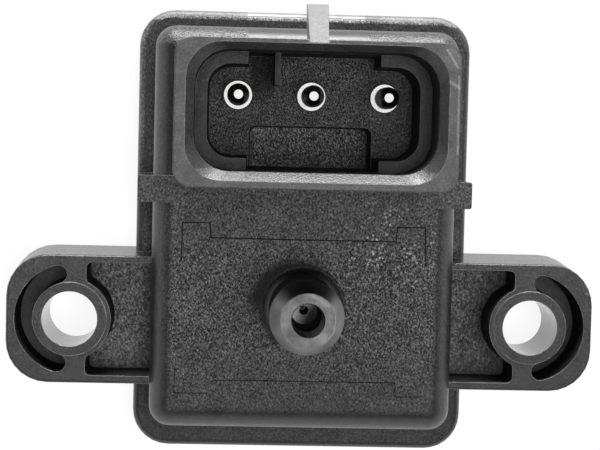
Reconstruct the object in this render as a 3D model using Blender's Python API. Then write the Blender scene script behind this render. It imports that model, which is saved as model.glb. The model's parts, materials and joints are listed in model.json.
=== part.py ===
"""Manifold absolute pressure sensor with a three-pin connector and a hose nipple.

The sensor lies on its mounting face. The origin is the centre of the flange plate on
that face, +X runs along the two screw holes, +Y runs from the nipple to the connector,
and +Z points out of the front face, the way the hose and the plug go on.
Sizes below are in millimetres and are turned into metres when a mesh is made.
"""

import math

import bmesh
import bpy
from mathutils import Matrix

MM = 0.001

# Steps of the round forms
CORNER_STEPS = 7
FILLET_STEPS = 5
EDGE_STEPS = 3
HOLE_STEPS = 40
NIPPLE_STEPS = 40
PIN_STEPS = 28
INNER_STEPS = 14

# How far joined shapes run into each other, and cutters past a face
OVERLAP = 0.5
OVERSHOOT = 1.0
SHARP_CORNER = 0.05
MERGE_DISTANCE = 1e-5
SMOOTH_ANGLE = 32

# Clearances between the pieces
SEAT_GAP = 0.2
SLIDE_GAP = 0.15
SOLDER_GAP = 0.1

# Flange plate
PLATE_WIDTH = 37.0
PLATE_HEIGHT = 48.8
PLATE_THICKNESS = 5.2
PLATE_CORNER = 4.0
PLATE_EDGE = 0.8

# Raised body in front of the plate
BODY_WIDTH = 33.1
BODY_BOTTOM = -21.35
BODY_TOP = 22.45
BODY_FRONT = 12.3
BODY_CORNER = 2.3
BODY_FILLET = 2.75
BODY_FACE_CORNER = 0.35
BODY_DRAFT = 0.15
BODY_WALL = 2.1
FRONT_WALL = 2.2

# Cross bar over the body
BAR_HALF_WIDTH = 18.1
BAR_BOTTOM = 3.3
BAR_TOP = 6.2
BAR_EDGE = 0.25

# Screw ears
SCREW_SPACING = 50.8
SCREW_Y = -9.85
SCREW_HOLE_RADIUS = 3.04
EAR_END = 6.94
EAR_HEIGHT = 14.12
EAR_THICKNESS = 9.4
EAR_CORNER = 4.6
EAR_DRAFT = 0.4
EAR_EDGE = 0.3
EAR_FLOOR = 3.8
BOSS_RADIUS = 4.05
BOSS_RISE = 0.15
SLOT_WIDTH = 2.0
SLOT_SPREAD = 75
WEB_WIDTH = 1.75
POCKET_BOSS_RADIUS = 4.5
POCKET_TOP_WALL = 0.75
POCKET_BOTTOM_WALL = 0.85
POCKET_CORNER = 0.6
POCKET_DRAFT = 0.12

# Connector shroud
SHROUD_WIDTH = 27.75
SHROUD_BOTTOM = 5.7
SHROUD_TOP = 20.25
SHROUD_FRONT = 31.8
SHROUD_CORNER = 1.8
SHROUD_DRAFT = 0.25
SHROUD_EDGE = 0.12
MOUTH_SIDE_WALL = 1.1
MOUTH_BOTTOM_WALL = 0.72
MOUTH_TOP_WALL = 0.4
MOUTH_CORNER = 3.5
LEAD_DEPTH = 1.0
LEAD_SIDE_WIDTH = 0.84
LEAD_BOTTOM_WIDTH = 0.9
LEAD_TOP_WIDTH = 0.65
LEDGE_FRONT = 24.8
LEDGE_WIDTH = 1.2
LEDGE_END = 6.7
LEDGE_DRAFT = 0.2
LEDGE_INNER_CORNER = 2.4
FLOOR_LEVEL = 18.8
FLOOR_WALL = 2.2
CORE_MARGIN = 2.2
CORE_WALL = 1.2
KEY_RECESS_HALF_WIDTH = 6.4
KEY_RECESS_TOP = 11.85
KEY_RECESS_DEPTH = 3.5
KEY_RECESS_CORNER = 0.7
KEY_RECESS_DRAFT = 0.2
KEY_RIB_CENTRE = -3.71
KEY_RIB_THICKNESS = 0.56
KEY_RIB_BOTTOM = 15.95
KEY_RIB_FRONT = 24.4

# Lock nib on the shroud
NIB_WIDTH = 2.14
NIB_FOOT_WIDTH = 1.84
NIB_TOP = 23.9
NIB_LAND = 1.2
NIB_TIP_RISE = 0.4
NIB_BACK = 26.4

# Terminals
PIN_PITCH = 7.6
PIN_Y = 14.92
PIN_TIP = 24.4
PIN_TIP_RADIUS = 0.47
PIN_NOSE = 1.1
PIN_RADIUS = 1.12
COLLAR_RADIUS = 1.5
COLLAR_HEIGHT = 0.45
SHANK_RADIUS = 0.95
SHOULDER_RADIUS = 1.45
SHOULDER_HEIGHT = 0.8
TAIL_RADIUS = 0.5
TAIL_LENGTH = 1.0
TAIL_STEP = 1.2
PIN_EDGE = 0.08

# Hose nipple
NIPPLE_Y = -7.83
NIPPLE_FILLET = 1.7
NIPPLE_NECK_RADIUS = 3.2
NIPPLE_BARB_RADIUS = 3.9
NIPPLE_BARB_LEVEL = 21.8
NIPPLE_BARB_LAND = 0.25
NIPPLE_BACK_TAPER = 0.9
NIPPLE_TIP = 24.5
NIPPLE_TIP_RADIUS = 2.91
NIPPLE_TIP_EDGE = 0.15
NIPPLE_BORE_RADIUS = 1.69
NIPPLE_BORE_END_RADIUS = 1.4
NIPPLE_BORE_RIM = 0.12
NIPPLE_BORE_DEPTH = 10.0
NIPPLE_BORE_CONE = 0.9
ORIFICE_RADIUS = 0.5

# Back of the housing and its cover
COVER_LEDGE = 2.0
COVER_RIM = 2.0
COVER_THICKNESS = 1.5
COVER_CORNER = 2.4
COVER_EDGE = 0.3
SEAL_WIDTH = 0.8
SEAL_DEPTH = 0.8

# Circuit board and its posts
BOARD_THICKNESS = 1.2
BOARD_BACK = 4.2
BOARD_MARGIN = 0.6
BOARD_CORNER = 1.0
POST_X = 10.8
POST_Y = -15.6
POST_RADIUS = 1.6
POST_PIN_RADIUS = 0.8
POST_HEAD_RADIUS = 1.5
POST_HEAD_HEIGHT = 0.6
SOLDER_RADIUS = 1.25
SOLDER_HEIGHT = 0.7

# Pressure cell under the nipple
SEAL_BOSS_RADIUS = 3.3
SEAL_BOSS_LEVEL = 8.2
SEAL_SEAT_RADIUS = 2.2
SEAL_SEAT_DEPTH = 1.5
NOZZLE_RADIUS = 0.9
NOZZLE_BORE_RADIUS = 0.35
NOZZLE_TOP = 9.4
CELL_SIZE = 7.2
CELL_CORNER = 0.6
CELL_BASE_HEIGHT = 1.4
CELL_WELL_SIZE = 4.0
CELL_WELL_DEPTH = 0.9
CELL_CAP_SIZE = 6.6
CELL_CAP_HEIGHT = 1.0
CELL_CAP_WALL = 0.4
DIE_SIZE = 2.0
DIE_HEIGHT = 0.4
GEL_HEIGHT = 0.15

# Parts on the board
CHIP_Y = 3.6
CHIP_WIDTH = 4.9
CHIP_LENGTH = 3.9
CHIP_HEIGHT = 1.4
CHIP_LEG_PITCH = 1.27
CHIP_LEG_WIDTH = 0.42
CHIP_LEG_THICKNESS = 0.3
CHIP_LEG_KNEE = 0.4
CHIP_LEG_REACH = 1.05
CHIP_LEG_COUNT = 4
CHIP_LEG_LEVEL = 0.6
CAPACITOR_Y = 9.7
CAPACITOR_LENGTH = 2.0
CAPACITOR_WIDTH = 1.25
CAPACITOR_HEIGHT = 1.0
RESISTOR_X = 5.2
RESISTOR_Y = -1.2
RESISTOR_PITCH = 2.6
RESISTOR_LENGTH = 1.6
RESISTOR_WIDTH = 0.85
RESISTOR_HEIGHT = 0.5
CHIP_PART_EDGE = 0.15

# Levels and places worked out from the sizes above
SCREW_X = SCREW_SPACING / 2
BOARD_FRONT = BOARD_BACK + BOARD_THICKNESS
PART_SEAT = BOARD_FRONT + SOLDER_GAP
CAVITY_FRONT = BODY_FRONT - FRONT_WALL
CAVITY_HALF_WIDTH = BODY_WIDTH / 2 - BODY_WALL
CAVITY_BOTTOM = BODY_BOTTOM + BODY_WALL
CAVITY_TOP = BODY_TOP - BODY_WALL
SEAT_HALF_WIDTH = PLATE_WIDTH / 2 - COVER_RIM
SEAT_HALF_HEIGHT = PLATE_HEIGHT / 2 - COVER_RIM
CORE_FRONT = FLOOR_LEVEL - FLOOR_WALL
MOUTH_HALF_WIDTH = SHROUD_WIDTH / 2 - MOUTH_SIDE_WALL
MOUTH_BOTTOM = SHROUD_BOTTOM + MOUTH_BOTTOM_WALL
MOUTH_TOP = SHROUD_TOP - MOUTH_TOP_WALL
LEDGE_HALF_WIDTH = MOUTH_HALF_WIDTH - LEAD_SIDE_WIDTH
LEDGE_BOTTOM = MOUTH_BOTTOM + LEAD_BOTTOM_WIDTH
LEDGE_TOP = MOUTH_TOP - LEAD_TOP_WIDTH
BORE_FLOOR = NIPPLE_TIP - NIPPLE_BORE_DEPTH
TAIL_END = BOARD_BACK - TAIL_LENGTH


def clear_scene():
    """Remove every object, so that the file can be run again in an open session."""
    for item in list(bpy.data.objects):
        bpy.data.objects.remove(item, do_unlink=True)


def make_material(name, colour, roughness, metallic=0.0):
    """A plain Principled material with a colour, a roughness and a metallic value."""
    finish = bpy.data.materials.new(name)
    finish.use_nodes = True
    shader = finish.node_tree.nodes["Principled BSDF"]
    shader.inputs["Base Color"].default_value = (*colour, 1.0)
    shader.inputs["Roughness"].default_value = roughness
    shader.inputs["Metallic"].default_value = metallic
    return finish


def add_object(name, shape, finish=None):
    """Turn a bmesh in millimetres into an object in metres and shade its curves smooth."""
    bmesh.ops.transform(shape, matrix=Matrix.Scale(MM, 4), verts=shape.verts)
    bmesh.ops.recalc_face_normals(shape, faces=shape.faces)
    mesh = bpy.data.meshes.new(name)
    shape.to_mesh(mesh)
    shape.free()
    item = bpy.data.objects.new(name, mesh)
    bpy.context.collection.objects.link(item)
    if finish:
        mesh.materials.append(finish)
    mesh.shade_smooth()
    mesh.set_sharp_from_angle(angle=math.radians(SMOOTH_ANGLE))
    return item


def as_tool(item):
    """Mark an object as a shape that only joins or cuts another one."""
    item.hide_render = True
    item.display_type = "WIRE"
    return item


def combine(target, tool, operation):
    """Join the tool to the target, or cut it away, with a live exact Boolean."""
    as_tool(tool)
    step = target.modifiers.new(tool.name, "BOOLEAN")
    step.operation = operation
    step.solver = "EXACT"
    step.object = tool


def join(target, *tools):
    """Union each tool with the target, in order."""
    for tool in tools:
        combine(target, tool, "UNION")


def cut(target, *tools):
    """Subtract each tool from the target, in order."""
    for tool in tools:
        combine(target, tool, "DIFFERENCE")


def arc(centre, radius, start, end, steps):
    """Points on an arc, from the start angle to the end angle in degrees."""
    points = []
    for step in range(steps + 1):
        angle = math.radians(start + (end - start) * step / steps)
        points.append((centre[0] + radius * math.cos(angle), centre[1] + radius * math.sin(angle)))
    return points


def rounded_polygon(corners, steps=CORNER_STEPS):
    """Round each corner (x, y, radius) of a polygon with an arc tangent to its two sides."""
    points = []
    count = len(corners)
    for index, (x, y, radius) in enumerate(corners):
        if radius <= 0:
            points.append((x, y))
            continue
        before = corners[index - 1]
        after = corners[(index + 1) % count]
        back = math.atan2(before[1] - y, before[0] - x)
        ahead = math.atan2(after[1] - y, after[0] - x)
        turn = math.remainder(ahead - back, math.tau)
        reach = radius / math.sin(abs(turn) / 2)
        middle = back + turn / 2
        centre = (x + reach * math.cos(middle), y + reach * math.sin(middle))
        sweep = math.copysign(math.pi - abs(turn), -turn)
        start = middle + math.pi - sweep / 2
        points += arc(centre, radius, math.degrees(start), math.degrees(start + sweep), steps)
    return points


def rectangle(left, right, bottom, top, radius, inset=0.0):
    """A rounded rectangle, counter-clockwise, moved inwards by the inset on every side."""
    round_radius = max(radius - inset, SHARP_CORNER)
    corners = [
        (right - inset, top - inset, round_radius),
        (left + inset, top - inset, round_radius),
        (left + inset, bottom + inset, round_radius),
        (right - inset, bottom + inset, round_radius),
    ]
    return rounded_polygon(corners)


def skin(name, rings, finish=None):
    """Join rings that have the same number of points into one closed body."""
    shape = bmesh.new()
    loops = [[shape.verts.new(point) for point in ring] for ring in rings]
    for lower, upper in zip(loops, loops[1:]):
        for index in range(len(lower)):
            after = (index + 1) % len(lower)
            shape.faces.new((lower[index], lower[after], upper[after], upper[index]))
    shape.faces.new(list(reversed(loops[0])))
    shape.faces.new(loops[-1])
    return add_object(name, shape, finish)


def loft(name, levels, finish=None):
    """Skin outlines with the same number of points, one at each (level, outline)."""
    rings = [[(x, y, level) for x, y in outline] for level, outline in levels]
    return skin(name, rings, finish)


def side_prism(name, side_view, left, right, finish=None):
    """A (y, level) side view extruded along X."""
    rings = [[(x, y, level) for y, level in side_view] for x in (left, right)]
    return skin(name, rings, finish)


def prism(name, outline, back, front, finish=None):
    """An outline extruded straight along Z."""
    return loft(name, [(back, outline), (front, outline)], finish)


def frame_prism(name, outer, inner, back, front, finish=None):
    """A closed band between two outlines with the same number of points, extruded along Z."""
    shape = bmesh.new()
    loops = []
    for outline, level in ((outer, back), (outer, front), (inner, front), (inner, back)):
        loops.append([shape.verts.new((x, y, level)) for x, y in outline])
    for here, there in zip(loops, loops[1:] + loops[:1]):
        for index in range(len(here)):
            after = (index + 1) % len(here)
            shape.faces.new((here[index], here[after], there[after], there[index]))
    return add_object(name, shape, finish)


def lathe(name, profile, centre, steps, finish=None):
    """Spin a closed (radius, level) profile around a vertical axis through the centre."""
    shape = bmesh.new()
    verts = [shape.verts.new((centre[0] + radius, centre[1], level)) for radius, level in profile]
    edges = [shape.edges.new((verts[index - 1], verts[index])) for index in range(len(verts))]
    bmesh.ops.spin(
        shape,
        geom=verts + edges,
        cent=(centre[0], centre[1], 0.0),
        axis=(0.0, 0.0, 1.0),
        angle=math.tau,
        steps=steps,
        use_merge=True,
    )
    bmesh.ops.remove_doubles(shape, verts=shape.verts, dist=MERGE_DISTANCE)
    bmesh.ops.dissolve_degenerate(shape, edges=shape.edges, dist=MERGE_DISTANCE)
    return add_object(name, shape, finish)


def cylinder(name, centre, radius, back, front, steps=HOLE_STEPS, finish=None):
    """A round bar along Z."""
    return prism(name, arc(centre, radius, 0, 360 - 360 / steps, steps - 1), back, front, finish)


def block(name, left, right, bottom, top, back, front, finish=None):
    """A square-edged block."""
    outline = [(right, top), (left, top), (left, bottom), (right, bottom)]
    return prism(name, outline, back, front, finish)


def edged_levels(outline_at, back, front, edge, draft=0.0, steps=FILLET_STEPS):
    """Levels of a drafted solid whose front edge is rounded with a quarter circle."""
    levels = [(back, outline_at(0.0)), (front - edge, outline_at(draft))]
    for step in range(1, steps + 1):
        angle = math.radians(90 * step / steps)
        inset = draft + edge * (1 - math.cos(angle))
        levels.append((front - edge + edge * math.sin(angle), outline_at(inset)))
    return levels


def mirrored(outline, side):
    """The outline as drawn for the right ear, or its mirror image for the left one."""
    if side > 0:
        return outline
    return [(-x, y) for x, y in reversed(outline)]


def make_plate(finish):
    """The flange plate, rounded at its corners and along its front edge."""
    half_width = PLATE_WIDTH / 2
    half_height = PLATE_HEIGHT / 2

    def outline_at(inset):
        return rectangle(-half_width, half_width, -half_height, half_height, PLATE_CORNER, inset)

    return loft("housing", edged_levels(outline_at, 0.0, PLATE_THICKNESS, PLATE_EDGE), finish)


def make_ear(side, word):
    """One screw ear: a drafted block with round ends that runs into the body."""
    root = CAVITY_HALF_WIDTH - EAR_CORNER

    def outline_at(inset):
        top = SCREW_Y + EAR_HEIGHT / 2 + EAR_DRAFT
        bottom = SCREW_Y - EAR_HEIGHT / 2 - EAR_DRAFT
        end = SCREW_X + EAR_END + EAR_DRAFT
        shape = rectangle(root, end, bottom, top, EAR_CORNER + EAR_DRAFT, inset)
        return mirrored(shape, side)

    levels = edged_levels(outline_at, 0.0, EAR_THICKNESS, EAR_EDGE, EAR_DRAFT, EDGE_STEPS)
    return loft("ear_" + word, levels)


def make_slot(side, word):
    """The C-shaped slot outboard of the screw boss, wider at its mouth by the draft."""
    middle = BOSS_RADIUS + SLOT_WIDTH / 2

    def outline_at(inset):
        reach = SLOT_WIDTH / 2 - inset
        centre = (SCREW_X, SCREW_Y)
        bottom, top = arc(centre, middle, -SLOT_SPREAD, SLOT_SPREAD, 1)
        outer = arc(centre, middle + reach, -SLOT_SPREAD, SLOT_SPREAD, 3 * CORNER_STEPS)
        upper_end = arc(top, reach, SLOT_SPREAD, SLOT_SPREAD + 180, CORNER_STEPS)[1:-1]
        inner = arc(centre, middle - reach, SLOT_SPREAD, -SLOT_SPREAD, 3 * CORNER_STEPS)
        lower_end = arc(bottom, reach, 180 - SLOT_SPREAD, 360 - SLOT_SPREAD, CORNER_STEPS)[1:-1]
        return mirrored(outer + upper_end + inner + lower_end, side)

    levels = [(EAR_FLOOR, outline_at(POCKET_DRAFT)), (EAR_THICKNESS + OVERSHOOT, outline_at(0.0))]
    return loft("slot_" + word, levels)


def make_pocket(side, word):
    """The pocket between the screw boss and the body, with the boss standing in it."""

    def outline_at(inset):
        top = SCREW_Y + EAR_HEIGHT / 2 - POCKET_TOP_WALL - inset
        bottom = SCREW_Y - EAR_HEIGHT / 2 + POCKET_BOTTOM_WALL + inset
        web = SCREW_X - WEB_WIDTH - inset
        radius = POCKET_BOSS_RADIUS + inset
        spread = math.degrees(math.acos((SCREW_X - web) / radius))
        boss = arc((SCREW_X, SCREW_Y), radius, 180 - spread, 180 + spread, 2 * CORNER_STEPS)
        corners = [(CAVITY_HALF_WIDTH, top, 0.0), (CAVITY_HALF_WIDTH, bottom, 0.0)]
        corners.append((web, bottom, POCKET_CORNER))
        corners.append((*boss[-1], POCKET_CORNER))
        corners += [(x, y, 0.0) for x, y in reversed(boss[1:-1])]
        corners.append((*boss[0], POCKET_CORNER))
        corners.append((web, top, POCKET_CORNER))
        return mirrored(rounded_polygon(corners, EDGE_STEPS), side)

    levels = [(EAR_FLOOR, outline_at(POCKET_DRAFT)), (EAR_THICKNESS + OVERSHOOT, outline_at(0.0))]
    return loft("pocket_" + word, levels)


def make_boss(side, word):
    """The low ring round the screw hole, on which the screw's head bears."""
    centre = (side * SCREW_X, SCREW_Y)
    return cylinder("boss_" + word, centre, BOSS_RADIUS, EAR_FLOOR, EAR_THICKNESS + BOSS_RISE)


def make_screw_hole(side, word):
    """The clearance hole for the screw, right through the ear."""
    centre = (side * SCREW_X, SCREW_Y)
    return cylinder("screw_hole_" + word, centre, SCREW_HOLE_RADIUS, -OVERSHOOT, EAR_THICKNESS + OVERSHOOT)


def make_body():
    """The raised body in front of the plate, with a full fillet round its front face."""
    half_width = BODY_WIDTH / 2 + BODY_DRAFT

    def outline_at(inset):
        bottom = BODY_BOTTOM - BODY_DRAFT
        top = BODY_TOP + BODY_DRAFT
        corner = max(BODY_CORNER + BODY_DRAFT, BODY_FACE_CORNER + inset)
        return rectangle(-half_width, half_width, bottom, top, corner, inset)

    back = PLATE_THICKNESS - OVERLAP
    levels = edged_levels(outline_at, back, BODY_FRONT, BODY_FILLET, BODY_DRAFT, CORNER_STEPS)
    return loft("raised_body", levels)


def make_bar():
    """The cross bar, flush with the front face and wider than the body."""
    outline = rectangle(-BAR_HALF_WIDTH, BAR_HALF_WIDTH, BAR_BOTTOM, BAR_TOP, BAR_EDGE)
    return prism("cross_bar", outline, PLATE_THICKNESS - OVERLAP, BODY_FRONT)


def make_shroud():
    """The outside of the connector shroud, drafted towards its rim."""
    half_width = SHROUD_WIDTH / 2 + SHROUD_DRAFT

    def outline_at(inset):
        bottom = SHROUD_BOTTOM - SHROUD_DRAFT
        top = SHROUD_TOP + SHROUD_DRAFT
        return rectangle(-half_width, half_width, bottom, top, SHROUD_CORNER + SHROUD_DRAFT, inset)

    levels = edged_levels(outline_at, CAVITY_FRONT, SHROUD_FRONT, SHROUD_EDGE, SHROUD_DRAFT, EDGE_STEPS)
    return loft("shroud", levels)


def make_nib():
    """The lock nib: a ramp that widens from the rim to its land, then drops square behind it."""
    foot = MOUTH_TOP + SHARP_CORNER
    side_view = [
        (NIB_FOOT_WIDTH / 2, foot, SHROUD_FRONT + NIB_TIP_RISE),
        (NIB_WIDTH / 2, NIB_TOP, NIB_BACK + NIB_LAND),
        (NIB_WIDTH / 2, NIB_TOP, NIB_BACK),
        (NIB_FOOT_WIDTH / 2, foot, NIB_BACK),
    ]
    rings = [[(side * reach, y, level) for reach, y, level in side_view] for side in (-1, 1)]
    return skin("lock_nib", rings)


def make_mouth():
    """The connector's mouth: a sloping lead-in at the rim, then a straight wall to the ledges."""

    def outline_at(share):
        half_width = MOUTH_HALF_WIDTH - LEAD_SIDE_WIDTH * share
        top = MOUTH_TOP - LEAD_TOP_WIDTH * share
        bottom = MOUTH_BOTTOM + LEAD_BOTTOM_WIDTH * share
        return rectangle(-half_width, half_width, bottom, top, MOUTH_CORNER)

    levels = [
        (LEDGE_FRONT, outline_at(1.0)),
        (SHROUD_FRONT - LEAD_DEPTH, outline_at(1.0)),
        (SHROUD_FRONT + LEAD_DEPTH, outline_at(-1.0)),
    ]
    return loft("mouth_cut", levels)


def make_well():
    """The space between the two C-shaped ledges, wall to wall, down to the floor."""

    def outline_at(inset):
        return rectangle(-LEDGE_END, LEDGE_END, LEDGE_BOTTOM, LEDGE_TOP, SHARP_CORNER, inset)

    levels = [(FLOOR_LEVEL, outline_at(LEDGE_DRAFT)), (LEDGE_FRONT + OVERLAP, outline_at(0.0))]
    return loft("well_cut", levels)


def make_ledge_cut():
    """The space inside the C-shaped ledges, down to the floor that carries the terminals."""

    def outline_at(inset):
        half_width = LEDGE_HALF_WIDTH - LEDGE_WIDTH
        bottom = LEDGE_BOTTOM + LEDGE_WIDTH
        top = LEDGE_TOP - LEDGE_WIDTH
        return rectangle(-half_width, half_width, bottom, top, LEDGE_INNER_CORNER, inset)

    levels = [(FLOOR_LEVEL, outline_at(LEDGE_DRAFT)), (LEDGE_FRONT + OVERLAP, outline_at(0.0))]
    return loft("ledge_cut", levels)


def make_key_recess():
    """The key recess sunk into the floor along the shroud's lower wall."""

    def outline_at(inset):
        bottom = LEDGE_BOTTOM + LEDGE_DRAFT
        corners = [
            (KEY_RECESS_HALF_WIDTH - inset, KEY_RECESS_TOP - inset, KEY_RECESS_CORNER),
            (inset - KEY_RECESS_HALF_WIDTH, KEY_RECESS_TOP - inset, KEY_RECESS_CORNER),
            (inset - KEY_RECESS_HALF_WIDTH, bottom, 0.0),
            (KEY_RECESS_HALF_WIDTH - inset, bottom, 0.0),
        ]
        return rounded_polygon(corners, EDGE_STEPS)

    back = FLOOR_LEVEL - KEY_RECESS_DEPTH
    levels = [(back, outline_at(KEY_RECESS_DRAFT)), (FLOOR_LEVEL + OVERLAP, outline_at(0.0))]
    return loft("key_recess_cut", levels)


def make_key_rib():
    """The thin key rib that hangs from the shroud's upper wall."""
    left = KEY_RIB_CENTRE - KEY_RIB_THICKNESS / 2
    right = KEY_RIB_CENTRE + KEY_RIB_THICKNESS / 2
    top = (LEDGE_TOP + SHROUD_TOP) / 2
    return block("key_rib", left, right, KEY_RIB_BOTTOM, top, FLOOR_LEVEL - OVERLAP, KEY_RIB_FRONT)


def make_nipple():
    """The outside of the hose nipple: base fillet, neck, barb and tapered nose."""
    base_radius = NIPPLE_NECK_RADIUS + NIPPLE_FILLET
    profile = [(0.0, CAVITY_FRONT + OVERLAP), (base_radius, CAVITY_FRONT + OVERLAP)]
    for step in range(FILLET_STEPS + 1):
        angle = math.radians(90 * step / FILLET_STEPS)
        profile.append((
            base_radius - NIPPLE_FILLET * math.sin(angle),
            BODY_FRONT + NIPPLE_FILLET * (1 - math.cos(angle)),
        ))
    profile += [
        (NIPPLE_NECK_RADIUS, NIPPLE_BARB_LEVEL - NIPPLE_BARB_LAND - NIPPLE_BACK_TAPER),
        (NIPPLE_BARB_RADIUS, NIPPLE_BARB_LEVEL - NIPPLE_BARB_LAND),
        (NIPPLE_BARB_RADIUS, NIPPLE_BARB_LEVEL),
        (NIPPLE_TIP_RADIUS, NIPPLE_TIP - NIPPLE_TIP_EDGE),
        (NIPPLE_TIP_RADIUS - NIPPLE_TIP_EDGE, NIPPLE_TIP),
        (0.0, NIPPLE_TIP),
    ]
    return lathe("nipple", profile, (0.0, NIPPLE_Y), NIPPLE_STEPS)


def make_nipple_bore():
    """The nipple's bore: broken at its rim, narrowing inwards, with a conical end."""
    rim = NIPPLE_BORE_RADIUS + NIPPLE_BORE_RIM
    profile = [
        (0.0, BORE_FLOOR),
        (ORIFICE_RADIUS, BORE_FLOOR),
        (NIPPLE_BORE_END_RADIUS, BORE_FLOOR + NIPPLE_BORE_CONE),
        (NIPPLE_BORE_RADIUS, NIPPLE_TIP - NIPPLE_BORE_RIM),
        (rim + OVERLAP, NIPPLE_TIP + OVERLAP),
        (0.0, NIPPLE_TIP + OVERLAP),
    ]
    return lathe("nipple_bore", profile, (0.0, NIPPLE_Y), PIN_STEPS)


def make_housing(finish):
    """The whole moulding: flange, ears, body, bar, shroud and nipple, hollow from behind."""
    housing = make_plate(finish)
    sides = ((-1, "left"), (1, "right"))
    for side, word in sides:
        join(housing, make_ear(side, word))
    for side, word in sides:
        cut(housing, make_pocket(side, word), make_slot(side, word))
        join(housing, make_boss(side, word))
    join(housing, make_body(), make_bar(), make_shroud(), make_nipple())
    cut(housing, make_mouth(), make_well(), make_ledge_cut(), make_key_recess())
    join(housing, make_nib(), make_key_rib())
    hollow_housing(housing)
    add_board_posts(housing)
    for side, word in sides:
        cut(housing, make_screw_hole(side, word))
    return housing


def hollow_housing(housing):
    """Cut the cover's seat, the seal groove, the cavity, the terminal core and the bores."""
    port = (0.0, NIPPLE_Y)
    cut(housing, prism("cover_seat", seat_outline(0.0), -OVERSHOOT, COVER_LEDGE))
    cut(housing, prism("cavity", cavity_outline(0.0), COVER_LEDGE - OVERSHOOT, CAVITY_FRONT))
    groove = frame_prism(
        "seal_groove", groove_outline(0.0), groove_outline(SEAL_WIDTH + 2 * SOLDER_GAP),
        COVER_LEDGE - OVERSHOOT, COVER_LEDGE + SEAL_DEPTH + SOLDER_GAP,
    )
    cut(housing, groove)
    core_bottom = KEY_RECESS_TOP + CORE_WALL
    core_top = SHROUD_TOP - CORE_MARGIN
    reach = SHROUD_WIDTH / 2 - CORE_MARGIN
    core_back = CAVITY_FRONT - OVERSHOOT
    core = block("terminal_core", -reach, reach, core_bottom, core_top, core_back, CORE_FRONT)
    cut(housing, core)
    boss = cylinder("seal_boss", port, SEAL_BOSS_RADIUS, SEAL_BOSS_LEVEL, CAVITY_FRONT + OVERLAP, PIN_STEPS)
    join(housing, boss)
    seat_top = SEAL_BOSS_LEVEL + SEAL_SEAT_DEPTH
    cut(
        housing,
        cylinder("seal_seat", port, SEAL_SEAT_RADIUS, SEAL_BOSS_LEVEL - OVERSHOOT, seat_top, INNER_STEPS),
        make_nipple_bore(),
        cylinder("orifice", port, ORIFICE_RADIUS, seat_top - OVERLAP, BORE_FLOOR + OVERLAP, INNER_STEPS),
    )
    radius = SHANK_RADIUS + SLIDE_GAP
    back = CORE_FRONT - OVERSHOOT
    front = FLOOR_LEVEL + OVERSHOOT
    for word, x in terminal_places():
        cut(housing, cylinder("terminal_hole_" + word, (x, PIN_Y), radius, back, front, INNER_STEPS))


def seat_outline(inset):
    """The outline of the cover's seat in the back of the plate."""
    across = SEAT_HALF_WIDTH
    along = SEAT_HALF_HEIGHT
    return rectangle(-across, across, -along, along, COVER_CORNER, inset)


def cavity_outline(inset):
    """The outline of the hollow inside the raised body."""
    return rectangle(-CAVITY_HALF_WIDTH, CAVITY_HALF_WIDTH, CAVITY_BOTTOM, CAVITY_TOP, BODY_CORNER, inset)


def groove_outline(inset):
    """The outside of the seal groove, halfway between the seat's wall and the cavity."""
    reach = SEAL_WIDTH / 2 + SOLDER_GAP
    side = (SEAT_HALF_WIDTH + CAVITY_HALF_WIDTH) / 2 + reach
    top = (SEAT_HALF_HEIGHT + CAVITY_TOP) / 2 + reach
    bottom = (CAVITY_BOTTOM - SEAT_HALF_HEIGHT) / 2 - reach
    return rectangle(-side, side, bottom, top, COVER_CORNER, inset)


def add_board_posts(housing):
    """Two posts from the cavity's front wall, staked over behind the circuit board."""
    for side, word in ((-1, "left"), (1, "right")):
        shoulder = BOARD_FRONT + SEAT_GAP
        head = BOARD_BACK - SEAT_GAP
        profile = [
            (0.0, head - POST_HEAD_HEIGHT),
            (POST_PIN_RADIUS, head - POST_HEAD_HEIGHT),
            (POST_HEAD_RADIUS, head - POST_HEAD_HEIGHT / 2),
            (POST_HEAD_RADIUS, head),
            (POST_PIN_RADIUS, head),
            (POST_PIN_RADIUS, shoulder),
            (POST_RADIUS, shoulder),
            (POST_RADIUS, CAVITY_FRONT + OVERLAP),
            (0.0, CAVITY_FRONT + OVERLAP),
        ]
        join(housing, lathe("board_post_" + word, profile, (side * POST_X, POST_Y), INNER_STEPS))


def terminal_places():
    """The three terminals' names and places across the connector."""
    return (("left", -PIN_PITCH), ("centre", 0.0), ("right", PIN_PITCH))


def make_terminals(finish, solder_finish):
    """Round terminals with a collar on the floor and a shoulder and solder tail behind it."""
    for word, x in terminal_places():
        collar_back = FLOOR_LEVEL + SOLDER_GAP
        shoulder_front = CORE_FRONT - SOLDER_GAP
        shoulder_back = shoulder_front - SHOULDER_HEIGHT
        profile = [
            (0.0, TAIL_END),
            (TAIL_RADIUS - PIN_EDGE, TAIL_END),
            (TAIL_RADIUS, TAIL_END + PIN_EDGE),
            (TAIL_RADIUS, BOARD_FRONT + TAIL_STEP),
            (SHANK_RADIUS, BOARD_FRONT + TAIL_STEP + SHANK_RADIUS - TAIL_RADIUS),
            (SHANK_RADIUS, shoulder_back),
            (SHOULDER_RADIUS, shoulder_back),
            (SHOULDER_RADIUS, shoulder_front),
            (SHANK_RADIUS, shoulder_front),
            (SHANK_RADIUS, collar_back),
            (COLLAR_RADIUS, collar_back),
            (COLLAR_RADIUS, collar_back + COLLAR_HEIGHT - PIN_EDGE),
            (COLLAR_RADIUS - PIN_EDGE, collar_back + COLLAR_HEIGHT),
            (PIN_RADIUS, collar_back + COLLAR_HEIGHT),
            (PIN_RADIUS, PIN_TIP - PIN_NOSE),
            (PIN_TIP_RADIUS, PIN_TIP),
            (0.0, PIN_TIP),
        ]
        lathe("terminal_" + word, profile, (x, PIN_Y), PIN_STEPS, finish)
        make_solder(word, x, solder_finish)


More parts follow.
